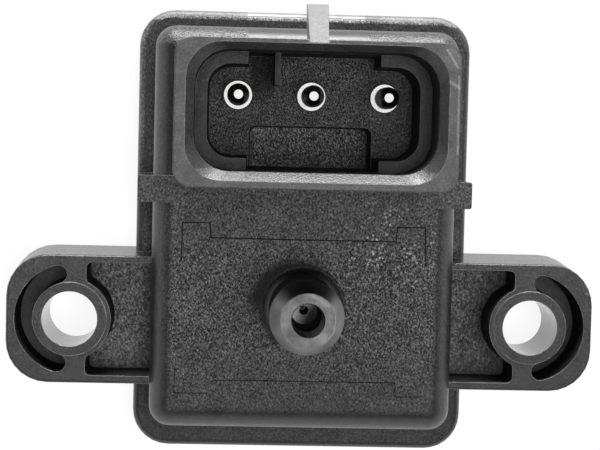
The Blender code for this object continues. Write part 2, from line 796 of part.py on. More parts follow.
def make_solder(word, x, finish):
    """The solder joint round a terminal's tail, on the back of the board."""
    inner = TAIL_RADIUS + SOLDER_GAP
    base = BOARD_BACK - SOLDER_GAP
    profile = [
        (inner, base),
        (SOLDER_RADIUS, base),
        ((SOLDER_RADIUS + inner) / 2, base - SOLDER_HEIGHT / 3),
        (inner + SOLDER_GAP, base - SOLDER_HEIGHT),
        (inner, base - SOLDER_HEIGHT),
    ]
    lathe("solder_joint_" + word, profile, (x, PIN_Y), INNER_STEPS, finish)


def make_cover(finish, seal_finish):
    """The flat rear cover in its seat, and the sealing cord in the groove in front of it."""
    back = COVER_LEDGE - SEAT_GAP - COVER_THICKNESS

    def outline_at(inset):
        return seat_outline(SEAT_GAP + inset)

    levels = [
        (back, outline_at(COVER_EDGE)),
        (back + COVER_EDGE, outline_at(0.0)),
        (back + COVER_THICKNESS, outline_at(0.0)),
    ]
    loft("rear_cover", levels, finish)
    frame_prism(
        "cover_seal",
        groove_outline(SOLDER_GAP),
        groove_outline(SOLDER_GAP + SEAL_WIDTH),
        COVER_LEDGE - SOLDER_GAP,
        COVER_LEDGE + SEAL_DEPTH,
        seal_finish,
    )


def make_board(finish):
    """The circuit board, with holes for the two posts and the three terminal tails."""
    outline = cavity_outline(BOARD_MARGIN)
    board = prism("circuit_board", outline, BOARD_BACK, BOARD_FRONT, finish)
    holes = []
    for side, word in ((-1, "left"), (1, "right")):
        holes.append(("post_hole_" + word, (side * POST_X, POST_Y), POST_PIN_RADIUS))
    for word, x in terminal_places():
        holes.append(("tail_hole_" + word, (x, PIN_Y), TAIL_RADIUS))
    for name, centre, radius in holes:
        back = BOARD_BACK - OVERSHOOT
        cut(board, cylinder(name, centre, radius + SEAT_GAP, back, BOARD_FRONT + OVERSHOOT, INNER_STEPS))
    return board


def square(centre, size, radius):
    """A rounded square round a centre."""
    half = size / 2
    return rectangle(centre[0] - half, centre[0] + half, centre[1] - half, centre[1] + half, radius)


def make_cell(finishes):
    """The pressure cell on the board: base, die, gel and a cap whose nozzle meets the port."""
    port = (0.0, NIPPLE_Y)
    base_top = PART_SEAT + CELL_BASE_HEIGHT
    well_floor = base_top - CELL_WELL_DEPTH
    base = prism("cell_base", square(port, CELL_SIZE, CELL_CORNER), PART_SEAT, base_top, finishes["ceramic"])
    cut(base, prism("cell_well", square(port, CELL_WELL_SIZE, CELL_CORNER), well_floor, base_top + OVERSHOOT))
    die_back = well_floor + SOLDER_GAP
    die_half = DIE_SIZE / 2
    block(
        "sense_die", -die_half, die_half, NIPPLE_Y - die_half, NIPPLE_Y + die_half,
        die_back, die_back + DIE_HEIGHT, finishes["silicon"],
    )
    gel_back = die_back + DIE_HEIGHT + SOLDER_GAP
    gel_outline = square(port, CELL_WELL_SIZE - 2 * SOLDER_GAP, CELL_CORNER)
    prism("cell_gel", gel_outline, gel_back, gel_back + GEL_HEIGHT, finishes["gel"])
    make_cell_cap(port, base_top + SOLDER_GAP, finishes["steel"])
    ring_back = SEAL_BOSS_LEVEL + SOLDER_GAP
    profile = [
        (NOZZLE_RADIUS + SOLDER_GAP, ring_back),
        (SEAL_SEAT_RADIUS - SOLDER_GAP, ring_back),
        (SEAL_SEAT_RADIUS - SOLDER_GAP, SEAL_BOSS_LEVEL + SEAL_SEAT_DEPTH - SEAT_GAP),
        (NOZZLE_RADIUS + SOLDER_GAP, SEAL_BOSS_LEVEL + SEAL_SEAT_DEPTH - SEAT_GAP),
    ]
    lathe("port_seal", profile, port, INNER_STEPS, finishes["rubber"])


def make_cell_cap(port, back, finish):
    """The cell's cap, open below, with a bored nozzle that enters the port seal."""
    front = back + CELL_CAP_HEIGHT
    cap = prism("cell_cap", square(port, CELL_CAP_SIZE, CELL_CORNER), back, front, finish)
    join(cap, cylinder("nozzle", port, NOZZLE_RADIUS, front - CELL_CAP_WALL / 2, NOZZLE_TOP, INNER_STEPS))
    inside = square(port, CELL_CAP_SIZE - 2 * CELL_CAP_WALL, CELL_CORNER)
    cut(cap, prism("cap_hollow", inside, back - OVERSHOOT, front - CELL_CAP_WALL))
    bore_end = NOZZLE_TOP + OVERSHOOT
    cut(cap, cylinder("nozzle_bore", port, NOZZLE_BORE_RADIUS, back - OVERSHOOT, bore_end, INNER_STEPS))


def make_chip(finish):
    """The amplifier chip: a moulded body with a row of bent legs on each side."""
    half_width = CHIP_WIDTH / 2
    half_length = CHIP_LENGTH / 2
    chip = block(
        "amplifier_chip", -half_width, half_width, CHIP_Y - half_length, CHIP_Y + half_length,
        PART_SEAT + CHIP_LEG_THICKNESS / 2, PART_SEAT + CHIP_HEIGHT, finish,
    )
    legs = [make_chip_leg(number, side) for side in (-1, 1) for number in range(CHIP_LEG_COUNT)]
    join(chip, *legs)


def make_chip_leg(number, side):
    """One leg, bent down from the chip's side to its foot on the board."""
    left = (number - (CHIP_LEG_COUNT - 1) / 2) * CHIP_LEG_PITCH - CHIP_LEG_WIDTH / 2
    root = CHIP_LENGTH / 2 - CHIP_LEG_THICKNESS
    knee = CHIP_LENGTH / 2 + CHIP_LEG_KNEE
    toe = CHIP_LENGTH / 2 + CHIP_LEG_REACH
    low = PART_SEAT
    high = PART_SEAT + CHIP_LEG_LEVEL
    thick = CHIP_LEG_THICKNESS
    right_view = [
        (root, high), (knee - thick, high), (knee - thick, low), (toe, low),
        (toe, low + thick), (knee, low + thick), (knee, high + thick), (root, high + thick),
    ]
    side_view = [(CHIP_Y + side * y, level) for y, level in right_view]
    word = "front" if side > 0 else "rear"
    return side_prism("chip_leg_%s_%d" % (word, number + 1), side_view, left, left + CHIP_LEG_WIDTH)


def make_small_part(name, centre, length, width, height, finish):
    """A small block-shaped part on the board, with softened top edges."""

    def outline_at(inset):
        x = length / 2 - inset
        y = width / 2 - inset
        corners = ((x, y), (-x, y), (-x, -y), (x, -y))
        return [(centre[0] + across, centre[1] + along) for across, along in corners]

    levels = [
        (PART_SEAT, outline_at(0.0)),
        (PART_SEAT + height - CHIP_PART_EDGE, outline_at(0.0)),
        (PART_SEAT + height, outline_at(CHIP_PART_EDGE)),
    ]
    loft(name, levels, finish)


def make_board_parts(finishes):
    """The amplifier chip, a filter capacitor for each terminal and four trim resistors."""
    make_chip(finishes["chip"])
    for word, x in terminal_places():
        make_small_part(
            "filter_capacitor_" + word, (x, CAPACITOR_Y),
            CAPACITOR_LENGTH, CAPACITOR_WIDTH, CAPACITOR_HEIGHT, finishes["ceramic"],
        )
    columns = (-RESISTOR_X, RESISTOR_X)
    places = [(x, RESISTOR_Y + row * RESISTOR_PITCH) for x in columns for row in range(2)]
    for number, centre in enumerate(places):
        make_small_part(
            "trim_resistor_%d" % (number + 1), centre,
            RESISTOR_LENGTH, RESISTOR_WIDTH, RESISTOR_HEIGHT, finishes["resistor"],
        )


def main():
    """Build the sensor, one named object for each physical piece."""
    clear_scene()
    finishes = {
        "plastic": make_material("black_moulding", (0.045, 0.045, 0.048), 0.62),
        "cover": make_material("cover_plastic", (0.04, 0.04, 0.042), 0.6),
        "tin": make_material("tin_plating", (0.8, 0.8, 0.78), 0.22, 1.0),
        "solder": make_material("solder", (0.6, 0.6, 0.6), 0.35, 1.0),
        "rubber": make_material("seal_rubber", (0.12, 0.05, 0.03), 0.7),
        "board": make_material("board_laminate", (0.03, 0.14, 0.07), 0.5),
        "ceramic": make_material("ceramic", (0.72, 0.66, 0.56), 0.5),
        "silicon": make_material("silicon", (0.2, 0.21, 0.24), 0.15, 0.6),
        "gel": make_material("clear_gel", (0.6, 0.65, 0.65), 0.1),
        "steel": make_material("cap_steel", (0.55, 0.55, 0.56), 0.3, 1.0),
        "chip": make_material("chip_epoxy", (0.02, 0.02, 0.02), 0.55),
        "resistor": make_material("resistor_film", (0.03, 0.03, 0.035), 0.4),
    }
    make_housing(finishes["plastic"])
    make_terminals(finishes["tin"], finishes["solder"])
    make_cover(finishes["cover"], finishes["rubber"])
    make_board(finishes["board"])
    make_cell(finishes)
    make_board_parts(finishes)


main()
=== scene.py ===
import json
import math
from collections import namedtuple

import bmesh
import bpy
import numpy as np
from bpy.props import FloatProperty, FloatVectorProperty, IntProperty, PointerProperty
from bpy.types import Operator, Panel, PropertyGroup
from mathutils import Matrix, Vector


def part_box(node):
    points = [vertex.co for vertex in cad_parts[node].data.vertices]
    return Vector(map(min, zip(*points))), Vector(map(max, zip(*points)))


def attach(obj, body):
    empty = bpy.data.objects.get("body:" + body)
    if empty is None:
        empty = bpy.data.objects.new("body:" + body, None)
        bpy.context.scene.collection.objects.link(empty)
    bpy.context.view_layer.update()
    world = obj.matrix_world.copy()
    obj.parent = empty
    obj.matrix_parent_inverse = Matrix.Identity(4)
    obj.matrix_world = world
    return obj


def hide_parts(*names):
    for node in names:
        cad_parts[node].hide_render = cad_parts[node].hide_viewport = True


bl_info = {
    "name": "Manifold Pressure Sensor Finish",
    "version": (1, 0, 0),
    "blender": (4, 5, 0),
    "location": "3D View > Sidebar > Sensor",
    "description": "Moulded, plated and board finishes for a packed manifold pressure sensor, with its stage",
    "category": "Object",
}

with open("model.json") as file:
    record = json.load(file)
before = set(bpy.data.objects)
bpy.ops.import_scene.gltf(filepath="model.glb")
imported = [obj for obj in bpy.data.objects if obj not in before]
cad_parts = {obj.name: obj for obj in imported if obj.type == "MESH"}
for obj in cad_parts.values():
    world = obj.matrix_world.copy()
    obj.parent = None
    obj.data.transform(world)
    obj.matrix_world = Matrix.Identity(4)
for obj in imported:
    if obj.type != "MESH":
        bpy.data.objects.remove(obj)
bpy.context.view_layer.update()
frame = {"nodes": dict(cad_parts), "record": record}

MM = 0.001
TERMINALS = ("terminal_left", "terminal_centre", "terminal_right")

# Points of the CAD mesh nearer than this, in metres, are made one, and flatter joints are taken out
MERGE_DISTANCE = 2e-6
FLAT_ANGLE = math.radians(0.6)

# Levels above the mounting face, in millimetres, where parts of the moulding begin or end
PLATE_ROUNDING = 4.3
FACE_LEVEL = 12.3
CONNECTOR_BOTTOM = 14.0
BARB_LEVEL = 20.9
NIB_BACK = 24.6
TIP_LEVEL = 24.5
RIM_LEVEL = 31.8
TOP_LEVEL = 34.0

# Middles and reaches of parts of the moulding as the front shows them, in millimetres
NIB_REACH = 1.1
NIB_FOOT = 19.9
POLISHED_GLINT_HALF_LENGTH = 6.57
BODY_TOP = 20.4
SCREWS = ((-25.4, -9.85), (25.4, -9.85))
BORE_REACH = 3.12
PORT = (0.0, -7.83)
NIPPLE_REACH = 4.9
# NIPPLE_SHADE is the middle of the painted shadow round the nipple's foot
NIPPLE_SHADE = (-0.75, -7.8)

# How far a flat face and a steep wall face the front, as the upward part of the surface's normal
FLAT_FACING = (0.95, 0.999)
STEEP_FACING = 0.7

# What the moulding's flat front faces look like, from each starting level up: the lightness against
# the smooth plastic, the contrast of the grain and the roughness. The lightness holds painted light
# and shade: lighter on the open rim, darker on the ledges deep in the connector
FaceLook = namedtuple("FaceLook", "start lightness contrast roughness")
FACE_LOOKS = (
    FaceLook(0.0, 2.2, 0.9, 0.5),
    FaceLook(4.5, 1.5, 0.9, 0.5),
    FaceLook(7.0, 1.3, 0.42, 0.38),
    FaceLook(10.5, 1.9, 1.15, 0.5),
    FaceLook(14.0, 2.2, 1.0, 0.5),
    FaceLook(17.0, 1.25, 0.9, 0.5),
    FaceLook(20.0, 0.9, 0.4, 0.4),
    FaceLook(28.0, 2.8, 0.22, 0.36),
)
# The lightness passes the ramp of levels divided by this, and so stays below 1 there
LIGHTEST_FACE = 4.0

# The grain's fibres lie along these angles, in degrees, and are so many times longer than wide
FIBRE_ANGLES = (33.0, -30.0)
FIBRE_LENGTHS = (1.0, 1.7, 1.0)
FINE_FIBRE_LENGTHS = (1.0, 2.2, 1.0)
DARKEST_GRAIN = 0.1
MOULDING_GLOSS = 0.75
EDGE_SAMPLES = 4

# Light scratches on the connector's rim, the right ear and the nipple's tip
Scratch = namedtuple("Scratch", "start end width")
SCRATCHES = (
    Scratch((12.4, 19.6, RIM_LEVEL), (13.5, 17.9, RIM_LEVEL), 0.16),
    Scratch((12.6, 16.6, RIM_LEVEL), (13.8, 15.9, RIM_LEVEL), 0.2),
    Scratch((13.65, 17.0, RIM_LEVEL), (13.7, 9.5, RIM_LEVEL), 0.16),
    Scratch((31.6, -5.9, 9.4), (32.1, -6.1, 9.4), 0.14),
    Scratch((0.5, -5.3, TIP_LEVEL), (1.95, -6.2, TIP_LEVEL), 0.3),
    Scratch((-2.4, -9.8, 24.2), (-1.5, -10.5, 24.2), 0.25),
)
SCRATCH_LIGHT = 7.0

# The lines that the mould's insert leaves on the front face, with their share of the full width
WitnessLine = namedtuple("WitnessLine", "name width_share path")
WITNESS_LINES = (
    WitnessLine("upper", 1.0, (
        (-13.24, -3.0), (-13.19, 1.17), (-10.23, 1.2), (-10.1, -0.4), (-0.04, -0.44), (9.96, -0.41),
        (10.08, 1.15), (13.13, 1.16), (13.3, -3.0))),
    WitnessLine("lower", 0.7, (
        (-9.59, -15.87), (0.3, -15.85), (10.29, -15.84), (10.33, -17.37), (13.47, -17.32))),
    WitnessLine("corner", 0.7, ((-13.7, -14.6), (-13.76, -17.36), (-10.1, -17.3))),
)

# The finishes of the rear cover and of the pieces that it closes in, by their slots: two colours, the
# roughness and its change, the waves in a millimetre and the depth of the relief in millimetres
INNER_LOOKS = {
    "cover_plastic": dict(
        name="cover_moulding", colour=(0.03, 0.03, 0.032), second_colour=(0.055, 0.055, 0.058),
        rough=0.55, rough_change=0.08, scale=1.2, depth=0.03),
    "solder": dict(
        name="solder_fillet", colour=(0.5, 0.5, 0.5), second_colour=(0.66, 0.66, 0.65),
        rough=0.32, rough_change=0.1, scale=2.0, depth=0.01, metallic=1.0),
    "seal_rubber": dict(
        name="seal_cord", colour=(0.10, 0.04, 0.03), second_colour=(0.15, 0.06, 0.04),
        rough=0.7, rough_change=0.08, scale=1.5, depth=0.02),
    "ceramic": dict(
        name="fired_ceramic", colour=(0.62, 0.56, 0.46), second_colour=(0.76, 0.70, 0.60),
        rough=0.55, rough_change=0.1, scale=2.0, depth=0.01),
    "silicon": dict(
        name="cut_silicon", colour=(0.16, 0.17, 0.20), second_colour=(0.24, 0.25, 0.29),
        rough=0.2, rough_change=0.06, scale=2.5, depth=0.002, metallic=0.6),
    "clear_gel": dict(
        name="sensing_gel", colour=(0.55, 0.60, 0.60), second_colour=(0.66, 0.70, 0.70),
        rough=0.12, rough_change=0.05, scale=0.8, depth=0.01),
    "cap_steel": dict(
        name="drawn_cap_steel", colour=(0.5, 0.5, 0.51), second_colour=(0.6, 0.6, 0.61),
        rough=0.3, rough_change=0.08, scale=1.5, depth=0.005, metallic=1.0),
    "chip_epoxy": dict(
        name="chip_moulding", colour=(0.015, 0.015, 0.016), second_colour=(0.03, 0.03, 0.03),
        rough=0.55, rough_change=0.1, scale=2.0, depth=0.01),
    "resistor_film": dict(
        name="resistor_glaze", colour=(0.02, 0.02, 0.025), second_colour=(0.04, 0.04, 0.045),
        rough=0.35, rough_change=0.08, scale=2.0, depth=0.005),
}
# The witness line's near-black colour is painted shadow along the insert's small step
WITNESS_SHADOW_LOOK = dict(
    name="witness_line_shadow", colour=(0.003, 0.003, 0.003), second_colour=(0.006, 0.006, 0.006),
    rough=0.75, rough_change=0.08, scale=2.0, depth=0.01)

# The tin plating's two tones, and its turning marks: their length along each axis and their depth
DULL_TIN = (0.88, 0.88, 0.86, 1.0)
BRIGHT_TIN = (0.95, 0.95, 0.93, 1.0)
TURNING_LENGTHS = (3.0, 3.0, 0.11)
TURNING_DEPTH = 0.004

# The board's two greens, and the weave under them: its waves round a millimetre and its depth
DARK_MASK = (0.02, 0.11, 0.05, 1.0)
LIGHT_MASK = (0.04, 0.17, 0.08, 1.0)
WEAVE_WAVES = 9.0
WEAVE_DEPTH = 0.01

# The surround that gloss and metal show, by the height of a ray's direction: where the white round
# the horizon ends, where the pale panel overhead begins, and the level of the dark between them
HORIZON_FADE = (0.7, 0.2)
PANEL_FADE = (0.92, 0.97)
DARK_SKY = 0.04

# The floor's disc in metres, the shares of its colour as a lit and a shaded surface, and its glow,
# which rises with the distance from the sensor in millimetres
FLOOR_RADIUS = 2.5
FLOOR_HEIGHT = -0.00005
FLOOR_STEPS = 96
LIT_SHARE = 0.8
SHADOW_SHARE = 0.14
GLOW_REACHES = (150.0, 600.0)
GLOW_LEVELS = (0.88, 1.0)


# Meshes

def add_piece(name, vertices, faces, material, sharp_angle=32.0):
    """Link a mesh given in millimetres as a piece of the sensor, and shade its curves smooth."""
    mesh = bpy.data.meshes.new(name)
    mesh.from_pydata((np.asarray(vertices) * MM).tolist(), [], faces)
    mesh.validate()
    piece = bpy.data.objects.new(name, mesh)
    bpy.context.collection.objects.link(piece)
    mesh.materials.append(material)
    mesh.shade_smooth()
    mesh.set_sharp_from_angle(angle=math.radians(sharp_angle))
    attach(piece, "root")
    return piece


def turned_body(profile, centre, steps):
    """Vertices and faces of a body of revolution, closed at both poles.

    A profile point (r, z) at the angle a stands at centre + (r cos a, r sin a), level z, with
    a from 0 to a full turn. The first and last profile points lie on the axis, and are single
    vertices that fans of triangles close.
    """
    radius, level = np.array(profile, dtype=float).T
    angle = np.arange(steps) * (2 * math.pi / steps)
    ring_radius = radius[1:-1, None]
    x = centre[0] + ring_radius * np.cos(angle)
    y = centre[1] + ring_radius * np.sin(angle)
    z = np.broadcast_to(level[1:-1, None], x.shape)
    rings = np.stack((x, y, z), axis=-1).reshape(-1, 3)
    poles = np.array(((centre[0], centre[1], level[0]), (centre[0], centre[1], level[-1])))
    here = np.arange(steps)
    after = (here + 1) % steps
    row = np.arange(len(radius) - 3)[:, None] * steps
    quads = np.stack((row + here, row + after, row + steps + after, row + steps + here), axis=-1)
    last = (len(radius) - 3) * steps
    first_pole = len(rings)
    start = np.stack((np.full(steps, first_pole), after, here), axis=-1)
    end = np.stack((np.full(steps, first_pole + 1), last + here, last + after), axis=-1)
    faces = quads.reshape(-1, 4).tolist() + start.tolist() + end.tolist()
    return np.vstack((rings, poles)), faces


def ridge_along(path, half_width, height, level):
    """Vertices and faces of a low ridge of triangular section along an open path on a flat face.

    At each path point p with the sideways direction s and the half width w, the section runs from
    p + w s over the crest, p raised by the height, to p - w s. A middle point's s is the mean of
    its two sides' normals, lengthened so that the ridge keeps its width round the corner.
    """
    points = np.array(path, dtype=float)
    step = np.diff(points, axis=0)
    step /= np.linalg.norm(step, axis=1)[:, None]
    normal = np.stack((-step[:, 1], step[:, 0]), axis=1)
    side = np.vstack((normal[:1], normal)) + np.vstack((normal, normal[-1:]))
    side *= 2 / np.sum(side * side, axis=1)[:, None]
    levels = np.full(len(points), level)
    left = np.column_stack((points + half_width * side, levels))
    crest = np.column_stack((points, levels + height))
    right = np.column_stack((points - half_width * side, levels))
    rows = np.stack((left, crest, right), axis=1).reshape(-1, 3)
    here = np.arange(len(points) - 1)[:, None] * 3
    there = here + 3
    lane = np.arange(3)
    lane_after = (lane + 1) % 3
    quads = np.stack((here + lane, here + lane_after, there + lane_after, there + lane), axis=-1)
    end = (len(points) - 1) * 3
    ends = [[2, 1, 0], [end, end + 1, end + 2]]
    return rows, quads.reshape(-1, 4).tolist() + ends


def merged_copy(node, name, material, sharp_angle):
    """A copy of a CAD node's mesh with its loose triangles joined, smooth across its curves."""
    source = frame["nodes"][node].data
    corners = np.empty(len(source.vertices) * 3)
    source.vertices.foreach_get("co", corners)
    mesh = bpy.data.meshes.new(name)
    triangles = np.empty(len(source.polygons) * 3, dtype=int)
    source.polygons.foreach_get("vertices", triangles)
    mesh.from_pydata(corners.reshape(-1, 3).tolist(), [], triangles.reshape(-1, 3).tolist())
    shape = bmesh.new()
    shape.from_mesh(mesh)
    bmesh.ops.remove_doubles(shape, verts=shape.verts, dist=MERGE_DISTANCE)
    bmesh.ops.dissolve_limit(shape, angle_limit=FLAT_ANGLE, verts=shape.verts, edges=shape.edges)
    shape.to_mesh(mesh)
    shape.free()
    mesh.materials.append(material)
    mesh.shade_smooth()
    mesh.set_sharp_from_angle(angle=math.radians(sharp_angle))
    piece = bpy.data.objects.new(name, mesh)
    bpy.context.collection.objects.link(piece)
    even = piece.modifiers.new("even_shading", "WEIGHTED_NORMAL")
    even.keep_sharp = True
    even.weight = 100
    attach(piece, "root")
    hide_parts(node)
    return piece


# Materials

class NodeWork:
    """A node tree whose nodes are added by short calls, each giving back an output socket."""

    def __init__(self, tree):
        self.tree = tree
        self.coordinates = tree.nodes.new("ShaderNodeTexCoord")
        self.place = self.vector("SCALE", self.coordinates.outputs["Object"], scale=1 / MM)

    def feed(self, socket, value):
        """Link a socket to the input, or set the input to a plain value."""
        if isinstance(value, bpy.types.NodeSocket):
            self.tree.links.new(value, socket)
        else:
            socket.default_value = value

    def vector(self, operation, *values, scale=None):
        """A vector sum, product, length or scaling."""
        node = self.tree.nodes.new("ShaderNodeVectorMath")
        node.operation = operation
        for socket, value in zip(node.inputs, values):
            self.feed(socket, value)
        if scale is not None:
            self.feed(node.inputs["Scale"], scale)
        plain = operation in ("LENGTH", "DISTANCE", "DOT_PRODUCT")
        return node.outputs["Value" if plain else "Vector"]

    def math(self, operation, *values, clamp=False):
        """One sum on plain numbers."""
        node = self.tree.nodes.new("ShaderNodeMath")
        node.operation = operation
        node.use_clamp = clamp
        for socket, value in zip(node.inputs, values):
            self.feed(socket, value)
        return node.outputs[0]

    def split(self, vector):
        """The three parts of a vector."""
        node = self.tree.nodes.new("ShaderNodeSeparateXYZ")
        self.feed(node.inputs[0], vector)
        return node.outputs

    def step(self, value, low, high):
        """Rises smoothly from 0 at the low value to 1 at the high one."""
        node = self.tree.nodes.new("ShaderNodeMapRange")
        node.interpolation_type = "SMOOTHSTEP"
        self.feed(node.inputs["Value"], value)
        node.inputs["From Min"].default_value = low
        node.inputs["From Max"].default_value = high
        return node.outputs["Result"]

    def stretch(self, value, low, high, to_low, to_high):
        """A straight change of range, held at its ends."""
        node = self.tree.nodes.new("ShaderNodeMapRange")
        self.feed(node.inputs["Value"], value)
        node.inputs["From Min"].default_value = low
        node.inputs["From Max"].default_value = high
        node.inputs["To Min"].default_value = to_low
        node.inputs["To Max"].default_value = to_high
        return node.outputs["Result"]

    def stairs(self, value, top, levels):
        """A stepped value: each (start, height) holds from its start to the next one."""
        node = self.tree.nodes.new("ShaderNodeValToRGB")
        self.feed(node.inputs["Fac"], self.math("DIVIDE", value, top))
        node.color_ramp.interpolation = "CONSTANT"
        marks = node.color_ramp.elements
        while len(marks) < len(levels):
            marks.new(0.5)
        for mark, (start, height) in zip(marks, levels):
            mark.position = max(start / top, 0.0)
            mark.color = (height, height, height, 1.0)
        return node.outputs["Color"]

    def noise(self, scale, detail=2.0, roughness=0.5, place=None):
        """Fractal noise from 0 to 1; the scale is its number of waves in a millimetre."""
        node = self.tree.nodes.new("ShaderNodeTexNoise")
        self.feed(node.inputs["Vector"], place or self.place)
        node.inputs["Scale"].default_value = scale
        node.inputs["Detail"].default_value = detail
        node.inputs["Roughness"].default_value = roughness
        return node.outputs["Fac"]

    def specks(self, scale):
        """Distance to the nearest of the points scattered so many to a millimetre."""
        node = self.tree.nodes.new("ShaderNodeTexVoronoi")
        self.feed(node.inputs["Vector"], self.place)
        node.inputs["Scale"].default_value = scale
        return node.outputs["Distance"]

    def round_from(self, x, y, middle):
        """Distance from a vertical axis through the middle (x, y)."""
        across = self.math("SUBTRACT", x, middle[0])
        along = self.math("SUBTRACT", y, middle[1])
        across_squared = self.math("MULTIPLY", across, across)
        along_squared = self.math("MULTIPLY", along, along)
        return self.math("SQRT", self.math("ADD", across_squared, along_squared))

    def above(self, value, limit):
        """1 where the value is above the limit, and 0 elsewhere."""
        return self.math("GREATER_THAN", value, limit)

    def below(self, value, limit):
        """1 where the value is below the limit, and 0 elsewhere."""
        return self.math("LESS_THAN", value, limit)

    def every(self, *shares):
        """The product of the shares, so 1 only where all of them are 1."""
        product = shares[0]
        for share in shares[1:]:
            product = self.math("MULTIPLY", product, share)
        return product

    def stroke(self, start, end, width):
        """1 on a straight scratch between two points, fading to 0 at its width."""
        run = np.subtract(end, start)
        reach = self.vector("SUBTRACT", self.place, tuple(start))
        share = self.vector("DOT_PRODUCT", reach, tuple(run / np.dot(run, run)))
        share = self.math("ADD", share, 0.0, clamp=True)
        nearest = self.vector("SCALE", tuple(run), scale=share)
        return self.step(self.vector("DISTANCE", reach, nearest), width, 0.3 * width)

    def turned(self, angle, lengths):
        """Coordinates turned about Z, whose grain is then so many times longer along each axis."""
        node = self.tree.nodes.new("ShaderNodeMapping")
        node.vector_type = "TEXTURE"
        self.feed(node.inputs["Vector"], self.place)
        node.inputs["Rotation"].default_value = (0.0, 0.0, math.radians(angle))
        node.inputs["Scale"].default_value = lengths
        return node.outputs["Vector"]

    def blend(self, share, first, second):
        """A number between the first and the second, by the share."""
        node = self.tree.nodes.new("ShaderNodeMix")
        self.feed(node.inputs[0], share)
        self.feed(node.inputs[2], first)
        self.feed(node.inputs[3], second)
        return node.outputs[0]

    def tint(self, share, first, second):
        """A colour between the first and the second, by the share."""
        node = self.tree.nodes.new("ShaderNodeMix")
        node.data_type = "RGBA"
        self.feed(node.inputs[0], share)
        self.feed(node.inputs[6], first)
        self.feed(node.inputs[7], second)
        return node.outputs[2]

    def soft_edges(self, radius):
        """The surface's normal with its edges rounded by the radius in millimetres."""
        node = self.tree.nodes.new("ShaderNodeBevel")
        node.samples = EDGE_SAMPLES
        node.inputs["Radius"].default_value = radius * MM
        return node.outputs["Normal"]

    def relief(self, height, depth, normal=None):
        """The normal of a fine relief whose height is given, its depth in millimetres."""
        node = self.tree.nodes.new("ShaderNodeBump")
        node.inputs["Distance"].default_value = depth * MM
        node.inputs["Strength"].default_value = 1.0
        self.feed(node.inputs["Height"], height)
        if normal is not None:
            self.feed(node.inputs["Normal"], normal)
        return node.outputs["Normal"]

    def facing(self):
        """How far the surface faces the front, from -1 to 1."""
        return self.split(self.coordinates.outputs["Normal"])[2]


class Finish(NodeWork):
    """A material of one Principled shader."""

    def __init__(self, name):
        self.material = bpy.data.materials.new(name)
        self.material.use_nodes = True
        super().__init__(self.material.node_tree)
        self.shader = self.tree.nodes["Principled BSDF"]

    def finish(self, colour, roughness, normal, metallic=0.0):
        """Send the colour, roughness and normal to the shader."""
        self.feed(self.shader.inputs["Base Color"], colour)
        self.feed(self.shader.inputs["Roughness"], roughness)
        self.feed(self.shader.inputs["Normal"], normal)
        self.shader.inputs["Metallic"].default_value = metallic
        return self.material


